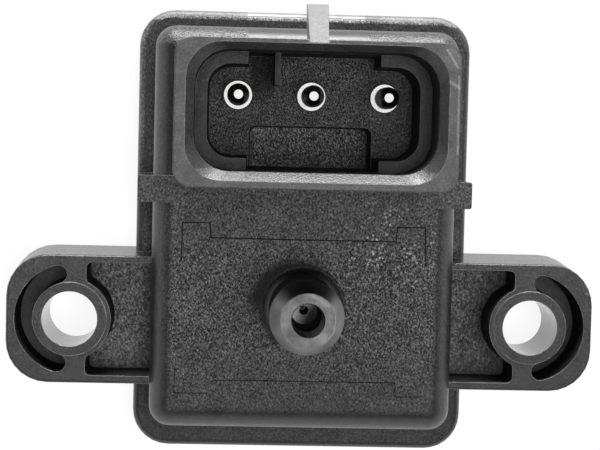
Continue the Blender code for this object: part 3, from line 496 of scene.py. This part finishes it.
class Moulding(Finish):
    """Glass-filled black moulding: grained front faces, smoother walls, fillets, rim and nipple.

    The tone of the plastic is the square of the grain times its strength plus a slow cloud near
    one, times the lightness of its place, which in many places is painted light and shade. The
    level of each front face sets the strength and the lightness, and walls have their own. Painted
    glints, lighter edges that are partly wear and partly painted highlight, and scratches are added
    to the tone.
    All places are given in millimetres.
    """

    def __init__(self, sizes):
        super().__init__("glass_filled_moulding")
        self.sizes = sizes
        self.x, self.y, self.z = self.split(self.place)
        self.across = self.math("ABSOLUTE", self.x)
        self.from_port = self.round_from(self.x, self.y, PORT)
        from_left, from_right = (self.round_from(self.x, self.y, screw) for screw in SCREWS)
        self.from_screw = self.math("MINIMUM", from_left, from_right)
        self.front = self.facing()
        self.flat = self.step(self.front, *FLAT_FACING)
        self.steep = self.below(self.math("ABSOLUTE", self.front), STEEP_FACING)
        self.shares = {
            **self.face_shares(), **self.plate_shares(), **self.ear_shares(),
            **self.connector_shares(), **self.nipple_shares(),
        }

    def inside(self, **limits):
        """1 between each direction's lowest and highest values, where None is no limit, and else 0."""
        shares = []
        for direction, (lowest, highest) in limits.items():
            value = getattr(self, direction)
            if lowest is not None:
                shares.append(self.above(value, lowest))
            if highest is not None:
                shares.append(self.below(value, highest))
        return self.every(*shares)

    def fading(self, **ramps):
        """Rises smoothly from 0 at each direction's first value to 1 at its second."""
        return self.every(*(self.step(getattr(self, name), *ramp) for name, ramp in ramps.items()))

    def near(self, point, reach, full_reach):
        """Rises smoothly from 0 at the reach from a point to 1 at the smaller one."""
        return self.step(self.vector("DISTANCE", self.place, point), reach, full_reach)

    def face_shares(self):
        """The front face's upper part, its patch of stronger grain and painted glints, and the levels that
        the glints and the lighter edges keep to.
        """
        return {
            "upper_face": self.every(self.flat, self.fading(y=(-3.0, 1.0)), self.inside(z=(None, 13.0))),
            "glint_patch": self.near((9.5, -1.5, FACE_LEVEL), 8.0, 1.5),
            "glinting_faces": self.every(self.flat, self.inside(z=(None, FACE_LEVEL + 0.1))),
            "edged": self.inside(z=(PLATE_ROUNDING, None)),
            "proud": self.math("MAXIMUM", self.inside(z=(9.2, 9.6)), self.inside(z=(30.5, None))),
        }

    def plate_shares(self):
        """The wall beyond the connector, its polished middle, and the flange plate's rounded edge, where
        painted highlights go.
        """
        behind = self.inside(y=(BODY_TOP, None), z=(None, FACE_LEVEL))
        middle = self.inside(across=(None, POLISHED_GLINT_HALF_LENGTH))
        rounding = self.every(self.inside(z=(PLATE_ROUNDING, None)), self.fading(z=(5.199, 5.17)))
        band = self.every(self.inside(z=(PLATE_ROUNDING, 5.3)), self.fading(y=(23.4, 23.6)))
        far_rounding = self.every(rounding, self.inside(y=(23.3, None)))
        left_rounding = self.every(rounding, self.inside(x=(None, -17.6)))
        return {
            "behind": behind,
            "behind_slope_highlight": self.every(behind, self.below(self.front, FLAT_FACING[1])),
            "middle": middle,
            "polished": self.every(behind, middle),
            "plate_edge": self.math("MAXIMUM", band, far_rounding),
            "left_edge_highlight": self.every(left_rounding, self.fading(y=(4.0, 12.0))),
        }

    def ear_shares(self):
        """The ears' walls, the ones round pockets and slots painted dark as shade, the floors and the screw
        holes.
        """
        wall = self.every(self.steep, self.inside(across=(16.3, None), z=(None, 9.45)))
        inward = self.inside(across=(None, 25.4))
        round_screw = self.inside(from_screw=(None, 6.4))
        hollow = self.inside(from_screw=(BORE_REACH, None), y=(-16.2, -3.4), z=(3.9, None))
        return {
            "ear_wall": wall,
            "deep": self.every(wall, self.math("MAXIMUM", inward, round_screw), hollow),
            "pocket": self.every(self.flat, self.inside(across=(16.0, 23.0), z=(None, 4.5))),
            "slot_floor": self.inside(across=(23.2, None), z=(3.0, 4.0)),
            "bore": self.inside(from_screw=(None, BORE_REACH)),
        }

    def connector_shares(self):
        """The shroud's mouth, floor, key rib and lead-in, the painted shadow beside the rib, its scuffed
        corner and the lock nib with its painted highlight.
        """
        floor = self.every(self.flat, self.inside(z=(CONNECTOR_BOTTOM, 19.8)))
        by_rib = self.every(self.inside(x=(None, -3.9)), self.fading(x=(-6.8, -6.0), y=(13.4, 16.2)))
        mouth = self.inside(across=(None, 12.9), y=(6.4, 19.9), z=(CONNECTOR_BOTTOM, 30.7))
        return {
            "connector_floor": floor,
            "nook_shadow": self.every(floor, by_rib),
            "mouth": self.every(self.steep, mouth),
            "rib": self.inside(x=(-4.6, -2.9), y=(13.5, None), z=(19.0, 30.0)),
            "lead_in": self.inside(y=(6.4, 7.6), z=(30.75, 31.75)),
            "corner_scuff": self.near((12.9, 18.9, RIM_LEVEL), 2.4, 0.4),
            "nib": self.inside(across=(None, NIB_REACH), y=(NIB_FOOT, None), z=(NIB_BACK, None)),
        }

    def nipple_shares(self):
        """The nipple's tip and cone with their painted highlights and shade, its neck, its bore and the
        painted shadow round its foot.
        """
        round_port = self.inside(from_port=(None, NIPPLE_REACH))
        barb = self.every(round_port, self.fading(z=(BARB_LEVEL - 0.5, BARB_LEVEL)))
        neck = self.every(round_port, self.inside(z=(FACE_LEVEL + 0.02, None)))
        northward = self.math("DIVIDE", self.math("SUBTRACT", self.y, PORT[1]), self.from_port)
        sideward = self.math("DIVIDE", self.across, self.from_port)
        far_cone = self.every(self.step(northward, 0.45, 0.85), self.below(self.front, 0.6))
        foot = self.step(self.round_from(self.x, self.y, NIPPLE_SHADE), 5.5, 4.6)
        foot = self.every(foot, self.fading(y=(-9.5, -6.5)), self.inside(z=(None, 14.0)))
        port_bore = self.inside(from_port=(None, 1.75))
        return {
            "nipple": barb,
            "neck": neck,
            "cone_side_highlights": self.step(sideward, 0.5, 0.95),
            "shaded_cone": self.every(barb, far_cone),
            "port_bore": port_bore,
            "bore_and_neck": self.math("MAXIMUM", port_bore, self.every(neck, self.steep)),
            "bore_and_barb": self.math("MAXIMUM", port_bore, barb),
            "funnel": self.inside(from_port=(None, 1.45), z=(14.47, 15.42)),
            "nipple_foot_shadow": foot,
        }

    def cover(self, value, *layers):
        """The value, covered by each (place, other value) layer in turn."""
        for place, other in layers:
            value = self.blend(self.shares[place], value, other)
        return value

    def times(self, value, place, factor):
        """The value, times the factor on that place."""
        return self.math("MULTIPLY", value, self.stretch(self.shares[place], 0.0, 1.0, 1.0, factor))

    def by_level(self, look, divisor=1.0):
        """One column of the table of front faces, divided, by the level of the surface."""
        levels = [(face.start, getattr(face, look) / divisor) for face in FACE_LOOKS]
        return self.stairs(self.z, TOP_LEVEL, levels)

    def grain_pattern(self):
        """The mean of two noises with crossed fibres, and one finer noise on the connector's floor."""
        scale = self.sizes.grain_scale
        places = [self.turned(angle, FIBRE_LENGTHS) for angle in FIBRE_ANGLES]
        crossed = [self.noise(scale, detail=1.0, roughness=0.6, place=place) for place in places]
        pattern = self.math("MULTIPLY", self.math("ADD", *crossed), 0.5)
        fine_place = self.turned(FIBRE_ANGLES[0], FINE_FIBRE_LENGTHS)
        fine = self.noise(scale * 1.5, detail=1.0, roughness=0.6, place=fine_place)
        return self.blend(self.shares["connector_floor"], pattern, fine)

    def grain_strength(self):
        """How strongly each place shows the grain."""
        walls = self.blend(self.shares["behind"], 0.5, 1.0)
        strength = self.blend(self.flat, walls, self.by_level("contrast"))
        strength = self.cover(
            strength,
            ("polished", 0.2),
            ("bore_and_barb", 0.1),
            ("bore", 0.1),
            ("slot_floor", 0.25),
            ("plate_edge", self.blend(self.shares["middle"], 0.3, 0.05)),
            ("upper_face", 0.75),
        )
        fainter_end = self.stretch(self.y, -19.5, -11.0, 0.5, 1.0)
        strength = self.math("MULTIPLY", strength, fainter_end)
        return self.times(strength, "glint_patch", 1.2)

    def plate_painted_glint(self):
        """A painted glint on the plate's rounded edge, strongest in its middle and where it faces the front.
        """
        glint = self.blend(self.shares["middle"], 9.0, 13.5)
        return self.math("MULTIPLY", glint, self.stretch(self.front, 0.2, 0.75, 0.5, 1.0))

    def pocket_painted_shade(self):
        """The pockets' floors darken towards the screws, and the right one is darker as painted shade."""
        outward = self.stretch(self.across, 17.0, 22.0, 2.9, 1.7)
        return self.math("MULTIPLY", outward, self.stretch(self.x, -20.0, 20.0, 1.22, 0.8))

    def nipple_highlights(self):
        """A mottled tip and a cone lighter at its sides, lightened as painted highlights."""
        cone = self.blend(self.shares["cone_side_highlights"], 4.8, 9.5)
        tip = self.stretch(self.noise(0.8, detail=3.0), 0.35, 0.65, 3.2, 8.0)
        return self.blend(self.flat, cone, tip)

    def funnel_painted_light(self):
        """The step in the port's bore carries painted light, bright at its upper left and dimmer at its lower
        right.
        """
        north = self.math("SUBTRACT", self.y, PORT[1])
        lean = self.math("SUBTRACT", self.math("MULTIPLY", north, 0.6), self.x)
        return self.stretch(lean, -0.9, 1.1, 4.0, 45.0)

    def lightness(self):
        """How light each place is against the smooth plastic, with painted highlights and painted shade in
        many places; a later place covers an earlier one.
        """
        faces = self.by_level("lightness", LIGHTEST_FACE)
        light = self.blend(self.flat, 1 / LIGHTEST_FACE, faces)
        light = self.math("MULTIPLY", light, LIGHTEST_FACE)
        light = self.cover(
            light,
            # Painted highlight on the slopes beyond the connector
            ("behind_slope_highlight", 1.8),
            # Painted glint on the plate's rounded edge
            ("plate_edge", self.plate_painted_glint()),
            # Painted highlight on the plate's left rounding
            ("left_edge_highlight", 4.0),
        )
        darker_end = self.stretch(self.y, -20.0, -9.0, 0.82, 1.0)
        light = self.math("MULTIPLY", light, darker_end)
        light = self.cover(
            light,
            ("slot_floor", 1.5),
            # The pockets' floors, the right one with painted shade
            ("pocket", self.pocket_painted_shade()),
            # Painted shade on the nipple's neck
            ("neck", 0.7),
            # Painted highlights on the nipple's cone and tip
            ("nipple", self.nipple_highlights()),
            ("shaded_cone", 0.2),
            # Painted shade down the port's bore
            ("port_bore", 0.3),
            # Painted highlight on the step in the port's bore
            ("funnel", self.funnel_painted_light()),
        )
        # Painted shadow beside the key rib
        light = self.times(light, "nook_shadow", 0.3)
        # Painted shadow round the nipple's foot
        light = self.times(light, "nipple_foot_shadow", 0.08)
        light = self.cover(
            light,
            # Painted shade on the rib's left side
            ("rib", self.stretch(self.x, -4.0, -3.4, 0.1, 1.0)),
            # Painted shade on the mouth's walls
            ("mouth", 0.5),
            # Painted highlight on the lower lead-in
            ("lead_in", 2.4),
            # Painted shade on the deep walls round pockets and slots
            ("deep", 0.1),
            ("bore", 1.0),
        )
        return self.times(light, "corner_scuff", 1.35)

    def glint_flakes(self):
        """Bright painted glints in patches on the front faces, most of all in the glint patch."""
        glint_flakes = self.stretch(self.specks(2.0), 0.0, 0.36, 12.0, 0.0)
        patches = self.step(self.noise(0.7), 0.46, 0.58)
        amount = self.stretch(self.shares["glint_patch"], 0.0, 1.0, 0.06, 1.6)
        return self.every(glint_flakes, patches, amount, self.shares["glinting_faces"])

    def edge_wear_and_highlights(self, rounded):
        """Lighter edges, partly wear and partly painted highlight, found where the rounded normal turns from
        the surface's own.
        """
        geometry = self.tree.nodes.new("ShaderNodeNewGeometry")
        likeness = self.vector("DOT_PRODUCT", rounded, geometry.outputs["Normal"])
        edge = self.stretch(likeness, 0.98, 0.86, 0.0, 1.0)
        patches = self.stretch(self.noise(0.9), 0.35, 0.65, 0.3, 1.0)
        wear = self.blend(self.shares["proud"], 5.0, 17.0)
        return self.every(edge, patches, wear, self.shares["edged"])

    def scratch_marks(self):
        """The scratches, broken up by a noise."""
        broken = self.noise(1.4)
        marks = 0.0
        for scratch in SCRATCHES:
            marks = self.math("ADD", marks, self.math("MULTIPLY", self.stroke(*scratch), broken))
        return self.math("MULTIPLY", marks, SCRATCH_LIGHT)

    def colour_with_nib_highlight(self, tone):
        """The plastic's colour times its tone, and the light grey of the nib's ramp, a painted highlight."""
        colour = self.vector("SCALE", self.sizes.plastic[:], scale=tone)
        grey_level = self.blend(self.noise(1.6, detail=3.0), 0.135, 0.21)
        grey = self.vector("SCALE", (1.0, 1.0, 1.0), scale=grey_level)
        return self.tint(self.shares["nib"], colour, grey)

    def roughness(self):
        """Roughness by place, with a slight drift over the surface."""
        rough = self.blend(self.flat, self.sizes.smooth_roughness, self.by_level("roughness"))
        rough = self.math("ADD", rough, self.stretch(self.noise(0.8), 0.3, 0.7, -0.04, 0.04))
        return self.cover(
            rough,
            ("ear_wall", 0.27),
            ("plate_edge", self.blend(self.shares["middle"], 0.5, 0.3)),
            ("mouth", 0.75),
            ("bore_and_neck", 1.0),
            ("nipple", 0.3),
            ("deep", 0.75),
            ("bore", self.stretch(self.noise(1.3), 0.3, 0.7, 0.06, 0.14)),
        )

    def mould(self):
        """The finished material."""
        pattern = self.grain_pattern()
        strength = self.grain_strength()
        grain = self.math("MULTIPLY", self.math("SUBTRACT", pattern, 0.5), self.sizes.grain_contrast)
        cloud = self.stretch(self.noise(0.5, detail=3.0, roughness=0.6), 0.3, 0.7, 0.88, 1.12)
        depth = self.math("ADD", self.math("MULTIPLY", grain, strength), cloud)
        depth = self.math("MAXIMUM", depth, DARKEST_GRAIN)
        tone = self.every(depth, depth, self.lightness())
        rounded = self.soft_edges(self.sizes.edge_radius / MM)
        for mark in (self.glint_flakes(), self.edge_wear_and_highlights(rounded), self.scratch_marks()):
            tone = self.math("ADD", tone, mark)
        relief = self.math("MULTIPLY", pattern, strength)
        normal = self.relief(relief, self.sizes.grain_depth / MM, rounded)
        self.shader.inputs["Specular IOR Level"].default_value = MOULDING_GLOSS
        return self.finish(self.colour_with_nib_highlight(tone), self.roughness(), normal)


def plating_finish():
    """Bright tin plating with faint turning marks and a little dulling."""
    plating = Finish("turned_tin_plating")
    marks = plating.noise(2.0, place=plating.turned(0.0, TURNING_LENGTHS))
    dulling = plating.noise(1.1, detail=3.0, roughness=0.6)
    rough = plating.stretch(dulling, 0.3, 0.7, 0.14, 0.26)
    colour = plating.tint(dulling, DULL_TIN, BRIGHT_TIN)
    return plating.finish(colour, rough, plating.relief(marks, TURNING_DEPTH), metallic=1.0)


def plain_finish(name, colour, second_colour, rough, rough_change, scale, depth, metallic=0.0):
    """A finish whose colour and roughness drift with a noise that also gives its fine relief."""
    made = Finish(name)
    drift = made.noise(scale, detail=3.0, roughness=0.6)
    grain = made.noise(scale * 4, detail=2.0, roughness=0.6)
    tone = made.tint(drift, (*colour, 1.0), (*second_colour, 1.0))
    roughness = made.stretch(drift, 0.3, 0.7, rough - rough_change, rough + rough_change)
    return made.finish(tone, roughness, made.relief(grain, depth), metallic)


def board_finish():
    """Green solder mask over a woven laminate: crossed fine waves under a mottled gloss."""
    board = Finish("masked_laminate")
    x, y, _ = board.split(board.place)
    warp = board.math("SINE", board.math("MULTIPLY", x, WEAVE_WAVES))
    weft = board.math("SINE", board.math("MULTIPLY", y, WEAVE_WAVES))
    weave = board.math("MULTIPLY", warp, weft)
    colour = board.tint(board.noise(0.4, detail=3.0), DARK_MASK, LIGHT_MASK)
    rough = board.stretch(board.noise(2.0), 0.3, 0.7, 0.3, 0.42)
    return board.finish(colour, rough, board.relief(weave, WEAVE_DEPTH))


# Settings

class MouldingSettings(PropertyGroup):
    plastic: FloatVectorProperty(
        name="Plastic", description="Colour of the smooth moulding",
        subtype="COLOR", size=3, min=0.0, max=1.0, default=(0.024, 0.024, 0.0245))
    grain_scale: FloatProperty(
        name="Grain scale", description="Waves of the sparkled grain in a millimetre",
        default=6.2, min=0.5, max=12.0)
    grain_contrast: FloatProperty(
        name="Grain contrast", description="How far the grain lightens and darkens the plastic",
        default=5.2, min=0.0, max=20.0)
    grain_depth: FloatProperty(
        name="Grain depth", description="Depth of the grain's relief",
        subtype="DISTANCE", unit="LENGTH", default=0.0001, min=0.0, max=0.0003)
    smooth_roughness: FloatProperty(
        name="Smooth roughness", description="Roughness of the walls and the fillets",
        subtype="FACTOR", default=0.36, min=0.0, max=1.0)
    edge_radius: FloatProperty(
        name="Edge radius", description="Rounding of the moulding's edges",
        subtype="DISTANCE", unit="LENGTH", default=0.00012, min=0.0, max=0.0005)
    sharp_angle: FloatProperty(
        name="Sharp angle", description="Corners sharper than this stay sharp",
        subtype="ANGLE", default=math.radians(32))


class TerminalSettings(PropertyGroup):
    steps: IntProperty(
        name="Steps", description="Steps round each turned terminal", default=72, min=16, max=128)
    tip_radius: FloatProperty(
        name="Tip radius", description="Radius of the flat tip",
        subtype="DISTANCE", unit="LENGTH", default=0.00046)
    nose_length: FloatProperty(
        name="Nose length", description="Length of the tapered nose behind the tip",
        subtype="DISTANCE", unit="LENGTH", default=0.0011)


class WitnessSettings(PropertyGroup):
    width: FloatProperty(
        name="Line width", description="Width of the line that the mould's insert leaves",
        subtype="DISTANCE", unit="LENGTH", default=0.00014)
    height: FloatProperty(
        name="Line height", description="Height of that line above the face",
        subtype="DISTANCE", unit="LENGTH", default=0.00003)


class StageSettings(PropertyGroup):
    floor: FloatVectorProperty(
        name="Floor", description="Colour of the floor and the backdrop",
        subtype="COLOR", size=3, min=0.0, max=1.0, default=(1.0, 1.0, 1.0))
    sky: FloatProperty(
        name="Sky level", description="Level of the light from all around", default=0.07, min=0.0, max=2.0)
    key: FloatProperty(
        name="Key power", description="Power of the large lamp beyond the connector",
        subtype="POWER", default=5.5, min=0.0)
    fill: FloatProperty(
        name="Fill power", description="Power of the soft lamp overhead",
        subtype="POWER", default=4.2, min=0.0)
    focal_length: FloatProperty(
        name="Focal length", description="Focal length of the camera on a sensor 36 mm wide",
        subtype="DISTANCE_CAMERA", unit="CAMERA", default=103.592, min=10.0)


# Pieces

class SENSOR_OT_mould_housing(Operator):
    """Dress the housing in its glass-filled moulding"""

    bl_idname = "sensor.mould_housing"
    bl_label = "Mould the Housing"

    def execute(self, context):
        sizes = context.scene.sensor_moulding
        angle = math.degrees(sizes.sharp_angle)
        merged_copy("housing", "moulded_housing", Moulding(sizes).mould(), angle)
        return {"FINISHED"}


class SENSOR_OT_turn_terminals(Operator):
    """Turn the three plated terminals with their collars and tapered noses"""

    bl_idname = "sensor.turn_terminals"
    bl_label = "Turn the Terminals"

    def execute(self, context):
        sizes = context.scene.sensor_terminal
        material = plating_finish()
        for node in TERMINALS:
            low, high = (np.array(corner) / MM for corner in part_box(node))
            centre = (low + high) / 2
            profile = terminal_profile(low, high, sizes)
            vertices, faces = turned_body(profile, centre[:2], sizes.steps)
            piece = add_piece("turned_" + node, vertices, faces, material)
            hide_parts(node)
        return {"FINISHED"}


def terminal_profile(low, high, sizes):
    """The outline of a terminal, from its solder tail to its tip, inside the node's box.

    Radii and levels are in millimetres. The collar and the anchor, the flange under the floor,
    are placed from the tip, and the shank and the tail from the anchor's front.
    """
    tail_end = low[2]
    tip = high[2]
    collar = (high[0] - low[0]) / 2
    tip_radius = sizes.tip_radius / MM
    nose_back = tip - sizes.nose_length / MM
    body = 1.12
    shank = 0.95
    tail = 0.5
    collar_back = tip - 5.5
    collar_front = collar_back + 0.45
    anchor_front = tip - 7.9
    anchor_back = anchor_front - 0.8
    shank_back = anchor_front - 9.3
    tail_front = anchor_front - 9.8
    tail_chamfer = 0.12
    edge = 0.05
    tip_edge = 0.03
    return (
        (0.0, tail_end),
        (tail - tail_chamfer, tail_end),
        (tail, tail_end + tail_chamfer),
        (tail, tail_front),
        (shank, shank_back),
        (shank, anchor_back),
        (collar - edge, anchor_back),
        (collar - edge, anchor_front),
        (shank, anchor_front),
        (shank, collar_back),
        (collar - edge, collar_back),
        (collar, collar_back + edge),
        (collar, collar_front - edge),
        (collar - edge, collar_front),
        (body, collar_front),
        (body, nose_back),
        (tip_radius + tip_edge, tip - tip_edge),
        (tip_radius, tip),
        (0.0, tip),
    )


class SENSOR_OT_score_witness_line(Operator):
    """Lay the fine line that the mould's insert leaves on the front face"""

    bl_idname = "sensor.score_witness_line"
    bl_label = "Score the Witness Line"

    def execute(self, context):
        sizes = context.scene.sensor_witness
        material = plain_finish(**WITNESS_SHADOW_LOOK)
        half_width = sizes.width / MM / 2
        height = sizes.height / MM
        for line in WITNESS_LINES:
            vertices, faces = ridge_along(line.path, half_width * line.width_share, height, FACE_LEVEL)
            name = "witness_line_" + line.name
            add_piece(name, vertices, faces, material, sharp_angle=80.0)
        return {"FINISHED"}


class SENSOR_OT_finish_inside(Operator):
    """Give the cover, the seals, the board and its parts their finishes"""

    bl_idname = "sensor.finish_inside"
    bl_label = "Finish the Cover and the Board"

    def execute(self, context):
        finishes = {slot: plain_finish(**look) for slot, look in INNER_LOOKS.items()}
        finishes["board_laminate"] = board_finish()
        slots = {part["node"]: part["material_slot"] for part in frame["record"]["subparts"]}
        for node, item in frame["nodes"].items():
            if slots[node] in finishes:
                item.data.materials.clear()
                item.data.materials.append(finishes[slots[node]])
        return {"FINISHED"}


# Stage

def lamp(name, place, aim, size, power):
    """A large soft lamp at a place, turned towards the point that it lights."""
    data = bpy.data.lights.new(name, "AREA")
    data.shape = "RECTANGLE"
    data.size, data.size_y = size
    data.energy = power
    item = bpy.data.objects.new(name, data)
    bpy.context.collection.objects.link(item)
    item.location = place
    direction = np.array(aim) - np.array(place)
    back = -direction / np.linalg.norm(direction)
    side = np.cross((0.0, 0.0, 1.0), back)
    side /= np.linalg.norm(side)
    up = np.cross(back, side)
    item.rotation_euler = Matrix(np.column_stack((side, up, back)).tolist()).to_euler()
    return item


class SENSOR_OT_set_stage(Operator):
    """Set the pale floor, the soft studio light and the camera"""

    bl_idname = "sensor.set_stage"
    bl_label = "Set the Stage"

    def execute(self, context):
        sizes = context.scene.sensor_stage
        colour = (*sizes.floor, 1.0)
        set_world(context.scene, colour, sizes.sky)
        make_floor(colour)
        lamp(
            "key_beyond_connector", place=(0.0, 0.60, 0.14), aim=(0.0, 0.0, 0.01), size=(0.45, 0.2),
            power=sizes.key)
        fill = lamp(
            "fill_overhead", place=(0.11, -0.07, 0.63), aim=(0.0, 0.0, 0.0), size=(0.34, 0.34),
            power=sizes.fill)
        fill.visible_glossy = False
        place_camera(context.scene, sizes.focal_length)
        context.scene.view_settings.view_transform = "Standard"
        return {"FINISHED"}


def ray_kinds(tree):
    """Two outputs: 1 for the camera's rays, and 1 for rays in gloss or through glass."""
    path = tree.nodes.new("ShaderNodeLightPath")
    mirrored = tree.nodes.new("ShaderNodeMath")
    mirrored.operation = "MAXIMUM"
    tree.links.new(path.outputs["Is Glossy Ray"], mirrored.inputs[0])
    tree.links.new(path.outputs["Is Transmission Ray"], mirrored.inputs[1])
    return path.outputs["Is Camera Ray"], mirrored.outputs[0]


def set_world(scene, colour, level):
    """White for the camera, the sky level as light, and a studio round for gloss and metal.

    That studio is white up to the horizon, dark above it, and has a pale panel overhead.
    """
    world = bpy.data.worlds.new("studio_surround")
    world.use_nodes = True
    studio = NodeWork(world.node_tree)
    camera, mirrored = ray_kinds(studio.tree)
    rise = studio.split(studio.coordinates.outputs["Generated"])[2]
    horizon = studio.step(rise, *HORIZON_FADE)
    panel = studio.step(rise, *PANEL_FADE)
    around = studio.math("MAXIMUM", studio.math("MAXIMUM", horizon, panel), DARK_SKY)
    strength = studio.blend(mirrored, level, around)
    strength = studio.blend(camera, strength, 1.0)
    light = studio.tree.nodes["Background"]
    light.inputs["Color"].default_value = colour
    studio.feed(light.inputs["Strength"], strength)
    scene.world = world


def make_floor(colour):
    """A large disc of floor under the sensor, pale where it is seen, that keeps the shadow.

    Its rim stands at the floor's radius times (cos a, sin a), with a from 0 to a full turn.
    """
    material = bpy.data.materials.new("pale_floor")
    material.use_nodes = True
    tree = material.node_tree
    tree.nodes.clear()
    work = NodeWork(tree)
    away = work.vector("LENGTH", work.place)
    out = tree.nodes.new("ShaderNodeOutputMaterial")
    board = tree.nodes.new("ShaderNodeBsdfDiffuse")
    board.inputs["Color"].default_value = [value * LIT_SHARE for value in colour[:3]] + [1.0]
    glow = tree.nodes.new("ShaderNodeEmission")
    glow.inputs["Color"].default_value = colour
    work.feed(glow.inputs["Strength"], work.stretch(away, *GLOW_REACHES, *GLOW_LEVELS))
    shadow = tree.nodes.new("ShaderNodeBsdfDiffuse")
    shadow.inputs["Color"].default_value = [value * SHADOW_SHARE for value in colour[:3]] + [1.0]
    shown = tree.nodes.new("ShaderNodeAddShader")
    seen = tree.nodes.new("ShaderNodeMath")
    seen.operation = "MAXIMUM"
    choice = tree.nodes.new("ShaderNodeMixShader")
    for ray, socket in zip(ray_kinds(tree), seen.inputs):
        tree.links.new(ray, socket)
    tree.links.new(glow.outputs[0], shown.inputs[0])
    tree.links.new(shadow.outputs[0], shown.inputs[1])
    tree.links.new(seen.outputs[0], choice.inputs[0])
    tree.links.new(board.outputs[0], choice.inputs[1])
    tree.links.new(shown.outputs[0], choice.inputs[2])
    tree.links.new(choice.outputs[0], out.inputs["Surface"])
    angle = np.arange(FLOOR_STEPS) * (2 * math.pi / FLOOR_STEPS)
    height = np.full(FLOOR_STEPS, FLOOR_HEIGHT)
    rim = np.column_stack((FLOOR_RADIUS * np.cos(angle), FLOOR_RADIUS * np.sin(angle), height))
    mesh = bpy.data.meshes.new("floor")
    mesh.from_pydata(rim.tolist(), [], [list(range(FLOOR_STEPS))])
    mesh.materials.append(material)
    floor = bpy.data.objects.new("floor", mesh)
    bpy.context.collection.objects.link(floor)


def place_camera(scene, focal_length):
    """The photograph's viewpoint: close above the sensor, a little left of the connector."""
    data = bpy.data.cameras.new("camera")
    data.sensor_width = 36.0
    data.sensor_fit = "HORIZONTAL"
    data.lens = focal_length
    data.clip_start = 0.01
    camera = bpy.data.objects.new("camera", data)
    bpy.context.collection.objects.link(camera)
    right = (0.998641, 0.025058, 0.045695)
    up = (-0.022336, 0.997999, -0.059152)
    back = (-0.047086, 0.058051, 0.997203)
    eye = (-0.0093033, 0.0120199, 0.1984953)
    stand = Matrix((right, up, back)).transposed().to_4x4()
    stand.translation = eye
    camera.matrix_world = stand
    scene.camera = camera


class SENSOR_PT_finish(Panel):
    """The sensor's pieces and their settings"""

    bl_label = "Pressure Sensor"
    bl_idname = "SENSOR_PT_finish"
    bl_space_type = "VIEW_3D"
    bl_region_type = "UI"
    bl_category = "Sensor"

    def draw(self, context):
        layout = self.layout
        for operator in OPERATORS:
            layout.operator(operator.bl_idname)
        for prop, settings in SETTINGS.items():
            group = getattr(context.scene, prop)
            box = layout.box()
            for name in settings.__annotations__:
                box.prop(group, name)


SETTINGS = {
    "sensor_moulding": MouldingSettings,
    "sensor_terminal": TerminalSettings,
    "sensor_witness": WitnessSettings,
    "sensor_stage": StageSettings,
}
OPERATORS = (
    SENSOR_OT_mould_housing,
    SENSOR_OT_turn_terminals,
    SENSOR_OT_score_witness_line,
    SENSOR_OT_finish_inside,
    SENSOR_OT_set_stage,
)


def register():
    for settings in SETTINGS.values():
        bpy.utils.register_class(settings)
    for prop, settings in SETTINGS.items():
        setattr(bpy.types.Scene, prop, PointerProperty(type=settings))
    for operator in OPERATORS:
        bpy.utils.register_class(operator)
    bpy.utils.register_class(SENSOR_PT_finish)


def unregister():
    bpy.utils.unregister_class(SENSOR_PT_finish)
    for operator in reversed(OPERATORS):
        bpy.utils.unregister_class(operator)
    for prop in SETTINGS:
        delattr(bpy.types.Scene, prop)
    for settings in reversed(SETTINGS.values()):
        bpy.utils.unregister_class(settings)


def main():
    """Register the classes, and make every piece and the stage."""
    register()
    bpy.ops.sensor.mould_housing()
    bpy.ops.sensor.turn_terminals()
    bpy.ops.sensor.score_witness_line()
    bpy.ops.sensor.finish_inside()
    bpy.ops.sensor.set_stage()
    bpy.context.view_layer.update()


if __name__ == "__main__":
    main()
